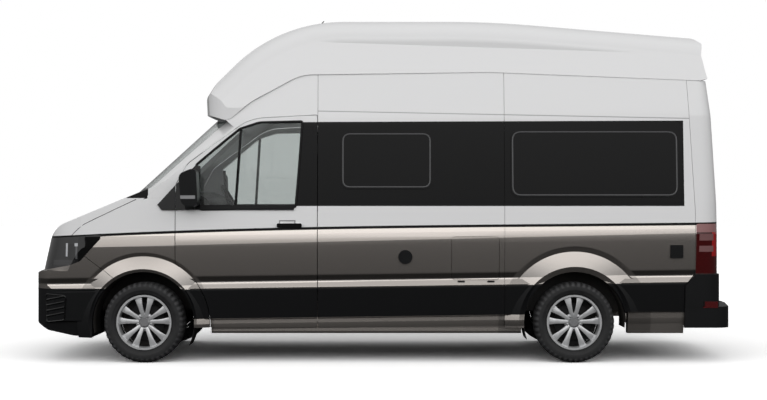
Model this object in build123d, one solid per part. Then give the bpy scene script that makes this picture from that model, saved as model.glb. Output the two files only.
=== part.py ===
from build123d import *
import os
from math import hypot, radians, sqrt, tan

os.makedirs("parts", exist_ok=True)

# Camper van on a long panel-van body with a moulded high roof, in millimetres.
# +X is forward, +Y the vehicle's left side and +Z up; the origin is on the ground, under the middle.

# Wheels and running gear
FRONT_AXLE_X = 2026.0
WHEELBASE = 3640.0
REAR_AXLE_X = FRONT_AXLE_X - WHEELBASE
TYRE_R = 340.0
TYRE_WIDTH = 235.0
RIM_R = 233.0
WHEEL_Y = 865.0
KINGPIN_Y = 790.0
SPINDLE_R = 30.0

# Overall places along the vehicle
NOSE_X = 3014.0
REAR_X = -2846.0
STEP_X = REAR_X - 156.0
DOOR_FRONT_X = 1752.0
DOOR_REAR_X = 560.0
MID_JOINT_X = -1020.0
CORNER_X = REAR_X + 275.0
CORNER_FOOT_X = REAR_X + 221.0
TAIL_X = REAR_X + 310.0

# Heights
SILL_FOOT_Z = 249.0
DOOR_FOOT_Z = 300.0
FLOOR_TOP_Z = 560.0
FLOOR_THICK = 40.0
BELT_Z = 1325.0

# Wall thicknesses and gaps
WALL = 45.0
FLANGE = 15.0
FLANGE_LAP = 22.0
NOSE_WALL = 30.0
ROOF_WALL = 40.0
GLASS = 6.0
GAP = 0.4
JOINT_GAP = 3.0
DOOR_GAP = 6.0

# Side section of the body at the middle of its length, from the sill up
SIDE_STATIONS = (
    # half width, height, corner radius
    (955.0, 230.0, 0.0),
    (974.0, 388.0, 3.0),
    (1001.0, 397.0, 5.0),
    (1016.0, 642.0, 8.0),
    (1008.0, 650.0, 3.0),
    (1014.0, 657.0, 5.0),
    (984.0, 710.0, 40.0),
    (1000.0, 766.0, 20.0),
    (1021.0, 1058.0, 700.0),
    (1004.0, 1325.0, 900.0),
    (948.0, 2060.0, 1500.0),
    (890.0, 2480.0, 0.0),
)
SIDE_TILT = 0.77
SIDE_TILT_X = -400.0
SIDE_TILT_Z = 650.0
OVERRUN = 290.0
BODY_REACH = NOSE_X + OVERRUN


def outline(points):
    """Flat closed face from rows of x, y and corner radius."""
    corners = [(row[0], row[1]) for row in points]
    radii = [row[2] if len(row) > 2 else 0.0 for row in points]
    return make_face(FilletPolyline(*corners, radius=radii, close=True))


def moved_in(rows, distance):
    """Outline rows with every side moved in by a distance, and the corner radii to match."""
    rows = [(row[0], row[1], row[2] if len(row) > 2 else 0.0) for row in rows]
    count = len(rows)
    area = sum(rows[i - 1][0] * rows[i][1] - rows[i][0] * rows[i - 1][1] for i in range(count))
    hand = 1.0 if area > 0 else -1.0
    result = []
    for i, (x, y, radius) in enumerate(rows):
        before, after = rows[i - 1], rows[(i + 1) % count]
        ax, ay = x - before[0], y - before[1]
        bx, by = after[0] - x, after[1] - y
        a_long, b_long = hypot(ax, ay), hypot(bx, by)
        ax, ay, bx, by = ax / a_long, ay / a_long, bx / b_long, by / b_long
        nx, ny = -ay - by, ax + bx
        shift = hand * distance * 2 / (nx * nx + ny * ny)
        convex = hand * (ax * by - ay * bx) > 0
        rounded = max(radius + (-distance if convex else distance), 0.0) if radius else 0.0
        result.append((x + nx * shift, y + ny * shift, rounded))
    return result


def prism_x(face, low, high):
    return extrude(Plane.YZ.offset(low) * face, high - low)


def prism_y(face, low, high):
    return extrude(Plane.XZ.offset(-high) * face, high - low)


def prism_z(face, low, high):
    return extrude(Plane.XY.offset(low) * face, high - low)


def box(low, high):
    """Block between two opposite corners."""
    sizes = [b - a for a, b in zip(low, high)]
    middle = [(a + b) / 2 for a, b in zip(low, high)]
    return Pos(*middle) * Box(*sizes)


def disc_y(x, z, radius, low, high):
    """Round bar across the vehicle."""
    return prism_y(Pos(x, z) * Circle(radius), low, high)


def turned(face, axis_x):
    """Side outline turned a full circle about an upright axis, with the seam at the rear."""
    ring = revolve(Plane.XZ * face, Axis((axis_x, 0, 0), (0, 0, 1)))
    return Pos(axis_x, 0, 0) * Rot(0, 0, 180) * Pos(-axis_x, 0, 0) * ring


def mirrored(part):
    return mirror(part, about=Plane.XZ)


def tilted(part):
    """Side lines rise a little towards the rear."""
    pivot = Pos(SIDE_TILT_X, 0, SIDE_TILT_Z)
    return pivot * Rot(0, SIDE_TILT, 0) * pivot.inverse() * part


def side_band(outer, inner):
    """Left body wall between two insets from the outer skin, along the whole vehicle."""
    rows = [(y - outer, z, r) for y, z, r in SIDE_STATIONS]
    rows += [(y - inner, z, r) for y, z, r in reversed(SIDE_STATIONS)]
    return tilted(prism_x(outline(rows), -BODY_REACH, BODY_REACH))


def side_solid(inset):
    """Whole body cross-section, inset from the outer skin."""
    left = [(y - inset, z, r) for y, z, r in SIDE_STATIONS]
    right = [(-y, z, r) for y, z, r in reversed(left)]
    return tilted(prism_x(outline(left + right), -BODY_REACH, BODY_REACH))


def side_width(x, z):
    """Half width of the outer skin at a place on the side, without its small corner radii."""
    height = z + (x - SIDE_TILT_X) * tan(radians(SIDE_TILT))
    rows = SIDE_STATIONS
    for low, high in zip(rows, rows[1:]):
        if low[1] <= height <= high[1]:
            share = (height - low[1]) / (high[1] - low[1])
            return low[0] + share * (high[0] - low[0])
    return rows[-1][0]


SIDE_Y_LOW = 600.0
SIDE_Y_HIGH = 1200.0


def side_cut(face):
    """Prism through the left body wall with an outline drawn in the side view."""
    return prism_y(face, SIDE_Y_LOW, SIDE_Y_HIGH)


PARTS = {}

# Outer skin of the body sides
SKIN = side_band(0, WALL)

# Wheel arches with their raised bands
FRONT_ARCH_R = 430.0
REAR_ARCH_R = 430.0
front_wheel = Pos(FRONT_AXLE_X, TYRE_R)
rear_wheel = Pos(REAR_AXLE_X, TYRE_R)
LIP_Y = 1022.0
CREASE_Y = 984.0
FLARE_ROOT_Y = 958.0
FLARE_FOOT_Z = 712.0
FRONT_FLARE = (FRONT_AXLE_X, FRONT_ARCH_R, 455.0, 560.0, 592.0)
REAR_FLARE = (REAR_AXLE_X, REAR_ARCH_R, 474.0, 600.0, 645.0)


def flare(wheel_x, opening_r, lip_r, band_r, crease_r):
    """Raised band round a wheel arch, and the cut that lets its outer edge into the skin."""
    band_rows = (
        (opening_r, FLARE_ROOT_Y),
        (opening_r, LIP_Y - 18),
        (lip_r, LIP_Y),
        (band_r, CREASE_Y),
        (band_r, FLARE_ROOT_Y),
    )
    cut_rows = (
        (lip_r, LIP_Y),
        (band_r, CREASE_Y),
        (crease_r, LIP_Y - 14),
        (crease_r, SIDE_Y_HIGH),
        (lip_r, SIDE_Y_HIGH),
    )
    place = Pos(wheel_x, 0, TYRE_R)
    band = place * revolve(make_face(Polyline(*band_rows, close=True)), Axis.Y, 360)
    cut = place * revolve(make_face(Polyline(*cut_rows, close=True)), Axis.Y, 360)
    cut &= box((wheel_x - crease_r, 0, FLARE_FOOT_Z), (wheel_x + crease_r, SIDE_Y_HIGH, TYRE_R + crease_r))
    return band, cut


front_flare, front_flare_cut = flare(*FRONT_FLARE)
rear_flare, rear_flare_cut = flare(*REAR_FLARE)

# Front door outline in the side view
WING_EDGE_R = 559.0
DOOR_EDGE_R = WING_EDGE_R + DOOR_GAP
DOOR_ROWS = (
    # x, z, corner radius
    (DOOR_REAR_X, DOOR_FOOT_Z, 12.0),
    (DOOR_FRONT_X, DOOR_FOOT_Z, 0.0),
    (DOOR_FRONT_X, 1500.0, 90.0),
    (1655.0, 1680.0, 160.0),
    (1130.0, 2064.0, 420.0),
    (DOOR_REAR_X, 2094.0, 14.0),
)
door_plain = outline(DOOR_ROWS)
door_face = door_plain - front_wheel * Circle(DOOR_EDGE_R)
door_hole_face = offset(door_plain, DOOR_GAP)

# Door glass: opening, divider bar and pane
GLASS_ROWS = (
    (1540.0, 1302.0, 25.0),
    (1572.0, 1672.0, 40.0),
    (1212.0, 1968.0, 60.0),
    (1050.0, 2022.0, 160.0),
    (694.0, 2034.0, 14.0),
    (748.0, 1322.0, 25.0),
)
BAR_FOOT_X = 1253.0
BAR_HEAD_X = 1198.0
BAR_HALF = 11.0
glass_face = outline(GLASS_ROWS)
bar_face = outline((
    (BAR_FOOT_X - BAR_HALF, 1250.0),
    (BAR_FOOT_X + BAR_HALF, 1250.0),
    (BAR_HEAD_X + BAR_HALF, 2080.0),
    (BAR_HEAD_X - BAR_HALF, 2080.0),
))
GLASS_INSET = 14.0
glass_hole = glass_face - bar_face
pane_band = side_band(GLASS_INSET, GLASS_INSET + GLASS)
front_glass = pane_band & side_cut(offset(glass_hole, -GAP))
front_door = (SKIN & side_cut(door_face)) - side_cut(glass_hole) - front_flare_cut

# Handle in a shallow bowl on the door
HANDLE_X = (687.0, 897.0)
HANDLE_Z = (1144.0, 1180.0)
HANDLE_OUT = (14.0, 34.0)
HANDLE_R = 12.0
FOOT_WIDE = 40.0
FOOT_DEEP = 12.0
FOOT_IN = 10.0
FOOT_NARROW = 2.0
handle_y = side_width(sum(HANDLE_X) / 2, sum(HANDLE_Z) / 2)
bar_low = (HANDLE_X[0], handle_y + HANDLE_OUT[0], HANDLE_Z[0])
bar_high = (HANDLE_X[1], handle_y + HANDLE_OUT[1], HANDLE_Z[1])
front_door += fillet(box(bar_low, bar_high).edges().filter_by(Axis.Y), HANDLE_R)
for foot_x in (HANDLE_X[0] + FOOT_IN, HANDLE_X[1] - FOOT_IN - FOOT_WIDE):
    foot_low = (foot_x, handle_y - FOOT_DEEP, HANDLE_Z[0] + FOOT_NARROW)
    foot_high = (foot_x + FOOT_WIDE, handle_y + sum(HANDLE_OUT) / 2, HANDLE_Z[1] - FOOT_NARROW)
    front_door += box(foot_low, foot_high)

# Door mirror: housing on an arm that grows from the sail at the door's front corner
MIRROR_X = (1540.0, 1700.0)
MIRROR_Z = (1318.0, 1652.0)
MIRROR_Y = (1035.0, 1222.0)
mirror_face = outline((
    (MIRROR_X[0], MIRROR_Z[0], 40.0),
    (MIRROR_X[1] - 25, MIRROR_Z[0] + 10, 60.0),
    (MIRROR_X[1], MIRROR_Z[1] - 60, 60.0),
    (MIRROR_X[0] + 12, MIRROR_Z[1], 40.0),
))
mirror_head = prism_y(mirror_face, *MIRROR_Y)
mirror_arm = box((1585, 985, 1300), (1665, MIRROR_Y[0] + 30, 1345))
door_mirror = mirror_head + mirror_arm
door_mirror -= side_band(-GAP, 400)

for side, turn in (("left", lambda part: part), ("right", mirrored)):
    PARTS[f"front_door_{side}"] = turn(front_door)
    PARTS[f"front_glass_{side}"] = turn(front_glass)
    PARTS[f"mirror_{side}"] = turn(door_mirror)

# Gutter line under the moulded roof, seen from the side
GUTTER_ROWS = (
    # x, z, corner radius
    (1345.0, 2054.0),
    (1290.0, 2066.0, 40.0),
    (1130.0, 2206.0, 600.0),
    (700.0, 2440.0, 400.0),
    (-900.0, 2462.0, 2500.0),
    (REAR_X + 156.0, 2390.0),
)

# Left and right side panels with the recessed black window band
BAND_RECESS = 4.0
BAND_REAR_X = REAR_X + 311.0
band_face = outline((
    (DOOR_REAR_X + 200, BELT_Z),
    (BAND_REAR_X + 20, BELT_Z + 12, 50.0),
    (BAND_REAR_X, 2048.0, 70.0),
    (DOOR_REAR_X + 200, 2036.0),
))
band_recess = side_band(-20, BAND_RECESS) & side_cut(band_face)
window_rows = (
    # front x, rear x, foot z, head z, corner radius
    (358.0, -409.0, 1469.0, 1949.0, 60.0),
    (-1074.0, BAND_REAR_X + 45.0, 1401.0, 1966.0, 70.0),
)
WINDOW_OUT = 12.0
WINDOW_IN = 30.0
window_faces = []
for front_x, rear_x, foot_z, head_z, radius in window_rows:
    window_faces.append(outline((
        (front_x, foot_z, radius),
        (rear_x, foot_z, radius),
        (rear_x, head_z, radius),
        (front_x, head_z, radius),
    )))

HIGH_Z = 3200.0
above_gutter = outline([
    *GUTTER_ROWS,
    (-BODY_REACH, GUTTER_ROWS[-1][1] - 30),
    (-BODY_REACH, HIGH_Z),
    (GUTTER_ROWS[0][0], HIGH_Z),
])
gutter_cut = prism_y(above_gutter, -SIDE_Y_HIGH, SIDE_Y_HIGH)

ARCH_FOOT_Z = 240.0


def arch_cut(wheel, radius):
    """Wheel arch opening: round over the wheel, straight down below its centre."""
    slot = wheel * Circle(radius)
    slot += outline((
        (wheel.position.X - radius, ARCH_FOOT_Z - 200),
        (wheel.position.X + radius, ARCH_FOOT_Z - 200),
        (wheel.position.X + radius, wheel.position.Y),
        (wheel.position.X - radius, wheel.position.Y),
    ))
    return slot


mid_face = outline((
    (MID_JOINT_X, DOOR_FOOT_Z, 10.0),
    (DOOR_REAR_X - DOOR_GAP, DOOR_FOOT_Z, 10.0),
    (DOOR_REAR_X - DOOR_GAP, 2500.0),
    (MID_JOINT_X, 2500.0),
))
EAR_TOP_Z = 750.0
TAIL_SILL_Z = 434.0
rear_face = outline((
    (MID_JOINT_X - JOINT_GAP, DOOR_FOOT_Z, 10.0),
    (MID_JOINT_X - JOINT_GAP, 2500.0),
    (CORNER_X, 2500.0),
    (CORNER_X, 2380.0),
    (CORNER_FOOT_X, 1280.0),
    (CORNER_FOOT_X, EAR_TOP_Z + JOINT_GAP),
    (TAIL_X, EAR_TOP_Z - 92.0),
    (TAIL_X, TAIL_SILL_Z),
    (REAR_AXLE_X - REAR_ARCH_R, TAIL_SILL_Z),
    (REAR_AXLE_X - REAR_ARCH_R, DOOR_FOOT_Z),
))
rear_face -= arch_cut(rear_wheel, REAR_ARCH_R)

mid_panel = SKIN & side_cut(mid_face)
mid_panel -= gutter_cut
pillar_face = outline((
    (DOOR_REAR_X - 2 * FLANGE_LAP, FLOOR_TOP_Z),
    (DOOR_REAR_X + FLANGE_LAP, FLOOR_TOP_Z),
    (DOOR_REAR_X + FLANGE_LAP, 2080.0),
    (DOOR_REAR_X - 2 * FLANGE_LAP, 2080.0),
))
pillar_flange = side_band(WALL + GAP, WALL + FLANGE) & side_cut(pillar_face)
pillar_foot = outline((
    (DOOR_REAR_X - 2 * FLANGE_LAP, FLOOR_TOP_Z),
    (DOOR_REAR_X - DOOR_GAP, FLOOR_TOP_Z),
    (DOOR_REAR_X - DOOR_GAP, 2080.0),
    (DOOR_REAR_X - 2 * FLANGE_LAP, 2080.0),
))
pillar_flange += side_band(WALL - 2, WALL + FLANGE) & side_cut(pillar_foot)
mid_panel += pillar_flange
mid_panel -= band_recess
mid_panel_plain = mid_panel - side_cut(window_faces[0])

rear_panel = (SKIN & side_cut(rear_face)) - rear_flare_cut
rear_panel += rear_flare & side_cut(rear_face)
rear_panel -= gutter_cut
rear_panel -= band_recess
rear_panel -= side_cut(window_faces[1])

# Service flap low in the left mid panel, on hinges along its lower edge
FLAP_X = (-973.0, -577.0)
FLAP_Z = (706.0, 1064.0)
FLAP_R = 25.0
flap_face = outline((
    (FLAP_X[0], FLAP_Z[0], FLAP_R),
    (FLAP_X[1], FLAP_Z[0], FLAP_R),
    (FLAP_X[1], FLAP_Z[1], FLAP_R),
    (FLAP_X[0], FLAP_Z[1], FLAP_R),
))
FLAP_THICK = 24.0
service_flap = side_band(0, FLAP_THICK) & side_cut(flap_face)
flap_hole = side_band(-20, FLAP_THICK + GAP) & side_cut(offset(flap_face, 5.0))
locker_hole = side_cut(offset(flap_face, -20.0))
mid_left = mid_panel_plain - flap_hole - locker_hole

# Round filler cap and square power inlet
CAP_X, CAP_Z, CAP_R = -184.0, 896.0, 59.0
INLET_X = (REAR_X + 324.0, REAR_X + 431.0)
INLET_Z = (887.0, 997.0)
cap_y = side_width(CAP_X, CAP_Z)
inlet_y = side_width(sum(INLET_X) / 2, sum(INLET_Z) / 2)
cap_disc = disc_y(CAP_X, CAP_Z, CAP_R, cap_y - 30, cap_y + 9)
inlet_box = box((INLET_X[0], inlet_y - 30, INLET_Z[0]), (INLET_X[1], inlet_y + 12, INLET_Z[1]))
inlet_box = fillet(inlet_box.edges().filter_by(Axis.Y), 8)
mid_left -= disc_y(CAP_X, CAP_Z, CAP_R + GAP, cap_y - 30 - GAP, cap_y + 60)
rear_left = rear_panel - box(
    (INLET_X[0] - GAP, inlet_y - 30 - GAP, INLET_Z[0] - GAP),
    (INLET_X[1] + GAP, inlet_y + 60, INLET_Z[1] + GAP),
)
PARTS["side_panel_mid_left"] = mid_left
PARTS["side_panel_rear_left"] = rear_left
PARTS["side_panel_rear_right"] = mirrored(rear_panel)
PARTS["sliding_door"] = mirrored(mid_panel_plain)
PARTS["service_flap"] = service_flap
PARTS["service_caps"] = Compound(children=[cap_disc.solid(), inlet_box.solid()])

windows = []
for face in window_faces:
    pane = side_band(BAND_RECESS - WINDOW_OUT, WINDOW_IN) & side_cut(offset(face, -GAP))
    windows += [pane.solid(), mirrored(pane).solid()]
PARTS["camper_windows"] = Compound(children=windows)

# Rear corner posts, lofted between level sections
DOOR_FOOT_REAR_Z = 500.0
DOOR_HEAD_REAR_Z = 2386.0
CORNER_WIDE = 112.0
CORNER_FLAT = 28.0
POST_FRONT_X = CORNER_X + 121.0
BEHIND_X = STEP_X - 100.0
DOOR_HALF = side_width(CORNER_X, DOOR_HEAD_REAR_Z + 54) - CORNER_WIDE
REAR_ROWS = (
    # height, rear face x
    (434.0, REAR_X),
    (740.0, REAR_X),
    (1091.0, REAR_X + 1.0),
    (1356.0, REAR_X + 7.0),
    (2091.0, REAR_X + 53.0),
    (2440.0, REAR_X + 104.0),
)


def corner_section(height, rear_x):
    side_y = side_width(CORNER_X, height)
    post_y = DOOR_HALF + DOOR_GAP
    flange_x = rear_x + WALL + GAP
    radius = side_y - post_y - CORNER_FLAT
    inner_radius = 0.35 * radius
    rows = (
        (POST_FRONT_X, side_y, 0.0),
        (rear_x, side_y, radius),
        (rear_x, post_y, 0.0),
        (flange_x, post_y, 0.0),
        (flange_x, DOOR_HALF - FLANGE_LAP, 0.0),
        (flange_x + FLANGE, DOOR_HALF - FLANGE_LAP, 0.0),
        (flange_x + FLANGE, side_y - WALL, inner_radius),
        (POST_FRONT_X, side_y - WALL, 0.0),
    )
    return Pos(0, 0, height) * outline(rows)


corner_loft = loft([corner_section(*row) for row in REAR_ROWS[1:]], ruled=True)
corner_face = outline((
    (CORNER_X - JOINT_GAP, 2500.0),
    (CORNER_X - JOINT_GAP, 2380.0),
    (CORNER_FOOT_X - JOINT_GAP, 1280.0),
    (CORNER_FOOT_X - JOINT_GAP, EAR_TOP_Z),
    (BEHIND_X, EAR_TOP_Z),
    (BEHIND_X, 2500.0),
))
LAMP_FRONT_X = CORNER_FOOT_X - 8.0
LAMP_Z = (EAR_TOP_Z + 4.0, 1176.0)
lamp_face = outline((
    (LAMP_FRONT_X, LAMP_Z[0], 10.0),
    (LAMP_FRONT_X, LAMP_Z[1], 14.0),
    (BEHIND_X, LAMP_Z[1]),
    (BEHIND_X, LAMP_Z[0]),
))
rear_post = (corner_loft & side_cut(corner_face)) - gutter_cut
LAMP_EDGE_Y = DOOR_HALF + DOOR_GAP + 24.0
lamp_room = prism_y(lamp_face, LAMP_EDGE_Y, SIDE_Y_HIGH)
tail_lamp = (corner_loft & prism_y(offset(lamp_face, -GAP), LAMP_EDGE_Y + GAP, SIDE_Y_HIGH)) & box(
    (BEHIND_X, 0, 0), (LAMP_FRONT_X, SIDE_Y_HIGH, 2000))
rear_post -= lamp_room
PARTS["rear_corners"] = Compound(children=[rear_post.solid(), mirrored(rear_post).solid()])
PARTS["tail_lamps"] = Compound(children=[tail_lamp.solid(), mirrored(tail_lamp).solid()])

# Rear doors with a window each
rear_outer = [(x, z) for z, x in REAR_ROWS if z < DOOR_HEAD_REAR_Z]
head_share = (DOOR_HEAD_REAR_Z - REAR_ROWS[-2][0]) / (REAR_ROWS[-1][0] - REAR_ROWS[-2][0])
head_x = REAR_ROWS[-2][1] + head_share * (REAR_ROWS[-1][1] - REAR_ROWS[-2][1])
rear_outer = [(REAR_X, DOOR_FOOT_REAR_Z)] + rear_outer[1:] + [(head_x, DOOR_HEAD_REAR_Z)]
rear_inner = [(x + WALL, z) for x, z in reversed(rear_outer)]
rear_leaf = prism_y(make_face(Polyline(*rear_outer, *rear_inner, close=True)), DOOR_GAP / 2 + 1, DOOR_HALF)
REAR_GLASS = outline((
    (110.0, 1420.0, 60.0),
    (700.0, 1420.0, 60.0),
    (690.0, 2010.0, 60.0),
    (110.0, 2010.0, 60.0),
))
rear_glass_hole = prism_x(REAR_GLASS, BEHIND_X, CORNER_X)
rear_pane = prism_x(offset(REAR_GLASS, -GAP), BEHIND_X, CORNER_X)
pane_outer = [(x + GLASS_INSET, z) for x, z in rear_outer]
pane_inner = [(x + GLASS_INSET + GLASS, z) for x, z in reversed(rear_outer)]
rear_pane &= prism_y(make_face(Polyline(*pane_outer, *pane_inner, close=True)), 0, DOOR_HALF)
rear_leaf -= rear_glass_hole
for side, turn in (("left", lambda part: part), ("right", mirrored)):
    PARTS[f"rear_door_{side}"] = turn(rear_leaf)
    PARTS[f"rear_glass_{side}"] = turn(rear_pane)

# Rear bumper: step across the back with ears up the corners
STEP_Z = (300.0, 478.0)
BUMPER_INNER_X = REAR_X - 4.0
BUMPER_Y = (965.0, 1018.0)
STEP_FLAT_Y = 450.0
STEP_SWEEP = 92.0
EAR_Y = DOOR_HALF + DOOR_GAP
bumper_plan = outline((
    (TAIL_X, BUMPER_Y[1], 0.0),
    (STEP_X + STEP_SWEEP, BUMPER_Y[1], 130.0),
    (STEP_X, STEP_FLAT_Y, 900.0),
    (STEP_X, -STEP_FLAT_Y, 900.0),
    (STEP_X + STEP_SWEEP, -BUMPER_Y[1], 130.0),
    (TAIL_X, -BUMPER_Y[1], 0.0),
    (TAIL_X, -BUMPER_Y[0], 0.0),
    (BUMPER_INNER_X, -BUMPER_Y[0], 120.0),
    (BUMPER_INNER_X, BUMPER_Y[0], 120.0),
    (TAIL_X, BUMPER_Y[0], 0.0),
))
rear_step = prism_z(bumper_plan, *STEP_Z)
ear_plan = outline((
    (TAIL_X, 1022.0, 0.0),
    (REAR_X - 8, 1022.0, 150.0),
    (REAR_X - 8, EAR_Y, 0.0),
    (REAR_X + 50, EAR_Y, 0.0),
    (REAR_X + 50, 950.0, 60.0),
    (TAIL_X, 950.0, 0.0),
))
ear_face = outline((
    (TAIL_X - 4, STEP_Z[1]),
    (TAIL_X - 4, EAR_TOP_Z - 96),
    (CORNER_FOOT_X, EAR_TOP_Z - GAP),
    (BEHIND_X, EAR_TOP_Z - GAP),
    (BEHIND_X, STEP_Z[1]),
))
ear = prism_z(ear_plan, STEP_Z[1], EAR_TOP_Z) & side_cut(ear_face)
ear -= side_band(-GAP, 200) & side_cut(rear_face)
rear_bumper = rear_step + ear + mirrored(ear)
rear_bumper -= side_band(-GAP, 200) & side_cut(rear_face)
rear_bumper -= mirrored(side_band(-GAP, 200) & side_cut(rear_face))
PARTS["rear_bumper"] = rear_bumper

# Moulded high roof: turned about an upright axis in front and swept straight back behind it.
# Its rounded upper box stands on leaning sides, which leaves a crease along each side.
ROOF_ROWS = (
    # x, z, corner radius
    (1574.0, 2126.0, 0.0),
    (1580.0, 2262.0, 60.0),
    (1508.0, 2376.0, 150.0),
    (968.0, 2916.0, 1300.0),
    (-900.0, 2916.0, 9000.0),
    (REAR_X + 196.0, 2770.0, 60.0),
    (REAR_X + 124.0, 2712.0, 25.0),
    (REAR_X + 144.0, 2610.0, 40.0),
    (REAR_X + 96.0, 2404.0, 0.0),
)
ROOF_TURN_R = 4000.0
ROOF_TURN_X = ROOF_ROWS[0][0] - ROOF_TURN_R
ROOF_SPLIT_X = 0.0
ROOF_FLOOR_Z = 1900.0
ROOF_TOP_Z = 3150.0
CREASE_HALF = (848.0, 878.0)
SHOULDER_R = 190.0
SIDE_SHOULDER_R = 210.0
ROOF_SIDE_Y = 905.0
ROOF_SIDE_Z = 2430.0
ROOF_SIDE_LEAN = 0.165
ROOF_CORNER_Y = 950.0
ROOF_CORNER_R = 200.0
ROOF_REACH_X = (REAR_X - 450.0, ROOF_ROWS[0][0] + 520.0)


def line_at(low, high, x):
    """Height at a place along the straight line through two rows."""
    return low[1] + (x - low[0]) * (high[1] - low[1]) / (high[0] - low[0])


def turned_and_swept(front_rows, rear_rows):
    """Rows in front of the split turned about the roof's axis, rows behind it swept across."""
    front = turned(outline(front_rows), ROOF_TURN_X)
    front &= box((ROOF_SPLIT_X, -SIDE_Y_HIGH, 0), (ROOF_REACH_X[1], SIDE_Y_HIGH, ROOF_TOP_Z))
    return front + prism_y(outline(rear_rows), -SIDE_Y_HIGH, SIDE_Y_HIGH)


def shoulders_rounded(block, radius):
    """Round the long upper edges of a roof block."""
    low_z = ROOF_ROWS[5][1] - SHOULDER_R
    edges = [e for e in block.edges() if abs(e.center().Y) > radius and e.center().Z > low_z]
    edges = [e for e in edges if e.bounding_box().size.X > radius]
    return fillet(edges, radius)


def roof_box(inset):
    """Crown without sides or ends, its rounded upper box and the form of both ends, moved in by a wall."""
    rows = moved_in([*ROOF_ROWS, (ROOF_ROWS[-1][0], ROOF_FLOOR_Z), (ROOF_ROWS[0][0], ROOF_FLOOR_Z)], inset)
    top_z = rows[3][1]
    slope_x = rows[3][0] + (rows[2][0] - rows[3][0]) * (top_z - ROOF_FLOOR_Z) / (top_z - rows[2][1])
    tail = (ROOF_REACH_X[0], line_at(rows[5], rows[4], ROOF_REACH_X[0]))
    axis_rows = [(ROOF_TURN_X, top_z), (ROOF_TURN_X, ROOF_FLOOR_Z)]
    split_rows = [(ROOF_SPLIT_X, ROOF_FLOOR_Z), (ROOF_SPLIT_X, top_z)]
    crown = turned_and_swept(
        [(slope_x, ROOF_FLOOR_Z), rows[3], *axis_rows],
        [rows[4], tail, (tail[0], ROOF_FLOOR_Z), *split_rows])
    ends = turned_and_swept(
        [(rows[0][0], ROOF_FLOOR_Z), *rows[:4], *axis_rows],
        [*rows[4:9], (rows[8][0], ROOF_FLOOR_Z), *split_rows])
    half_front, half_rear = [half - inset for half in CREASE_HALF]
    plan = make_face(Polyline(
        (ROOF_REACH_X[1], half_front),
        (ROOF_REACH_X[0], half_rear),
        (ROOF_REACH_X[0], -half_rear),
        (ROOF_REACH_X[1], -half_front),
        close=True))
    upper = shoulders_rounded(crown & prism_z(plan, ROOF_FLOOR_Z, ROOF_TOP_Z), SHOULDER_R - inset)
    return crown, upper, ends


crown, roof_upper, roof_ends = roof_box(0)
lean_low_y = ROOF_SIDE_Y - ROOF_SIDE_LEAN * (ROOF_FLOOR_Z - ROOF_SIDE_Z)
lean_high_y = ROOF_SIDE_Y - ROOF_SIDE_LEAN * (ROOF_TOP_Z - ROOF_SIDE_Z)
leaning = make_face(Polyline(
    (lean_low_y, ROOF_FLOOR_Z),
    (lean_high_y, ROOF_TOP_Z),
    (-lean_high_y, ROOF_TOP_Z),
    (-lean_low_y, ROOF_FLOOR_Z),
    close=True))
roof_lower = shoulders_rounded(crown & prism_x(leaning, *ROOF_REACH_X), SIDE_SHOULDER_R)
front_plan = Pos(ROOF_TURN_X, 0) * Circle(ROOF_TURN_R + 8)
front_plan &= Pos(ROOF_ROWS[0][0], 0) * Rectangle(4000, 2 * ROOF_CORNER_Y)
front_plan = fillet(front_plan.vertices().sort_by(Axis.X)[-2:], ROOF_CORNER_R)
front_plan += Pos(-2000, 0) * Rectangle(5200, 2 * SIDE_Y_HIGH)
lip_far = (ROOF_REACH_X[1], line_at(GUTTER_ROWS[0], ROOF_ROWS[0], ROOF_REACH_X[1]))
tail_far = (ROOF_REACH_X[0], line_at(GUTTER_ROWS[-1], ROOF_ROWS[-1], ROOF_REACH_X[0]))
over_gutter = outline([lip_far, *GUTTER_ROWS, tail_far, (tail_far[0], HIGH_Z), (lip_far[0], HIGH_Z)])
roof_shell = (roof_upper + roof_lower) & roof_ends & prism_z(front_plan, ROOF_FLOOR_Z, ROOF_TOP_Z)
roof_shell &= prism_y(over_gutter, -SIDE_Y_HIGH, SIDE_Y_HIGH)
_, hollow_upper, hollow_ends = roof_box(ROOF_WALL)
roof_shell -= hollow_upper & hollow_ends
PARTS["roof_shell"] = roof_shell

# Cab: windscreen cone on the body section, down to the scuttle
SCREEN_FOOT = (2176.0, 1463.0)
SCREEN_HEAD = (1487.0, 2098.0)
SCREEN_TURN_X = 73.0
screen_run = (SCREEN_FOOT[0] - SCREEN_HEAD[0]) / (SCREEN_HEAD[1] - SCREEN_FOOT[1])
screen_slant = sqrt(1 + screen_run ** 2)


def screen_cone(inset):
    """Everything behind the windscreen's curved plane."""
    low_z, high_z = 1150.0, 2540.0
    low_x = SCREEN_FOOT[0] + (SCREEN_FOOT[1] - low_z) * screen_run - inset * screen_slant
    high_x = SCREEN_FOOT[0] + (SCREEN_FOOT[1] - high_z) * screen_run - inset * screen_slant
    face = outline((
        (SCREEN_TURN_X, low_z),
        (low_x, low_z),
        (high_x, high_z),
        (SCREEN_TURN_X, high_z),
    ))
    cone = turned(face, SCREEN_TURN_X)
    return cone & box((0, -1300, low_z), (2600, 1300, high_z))


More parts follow.
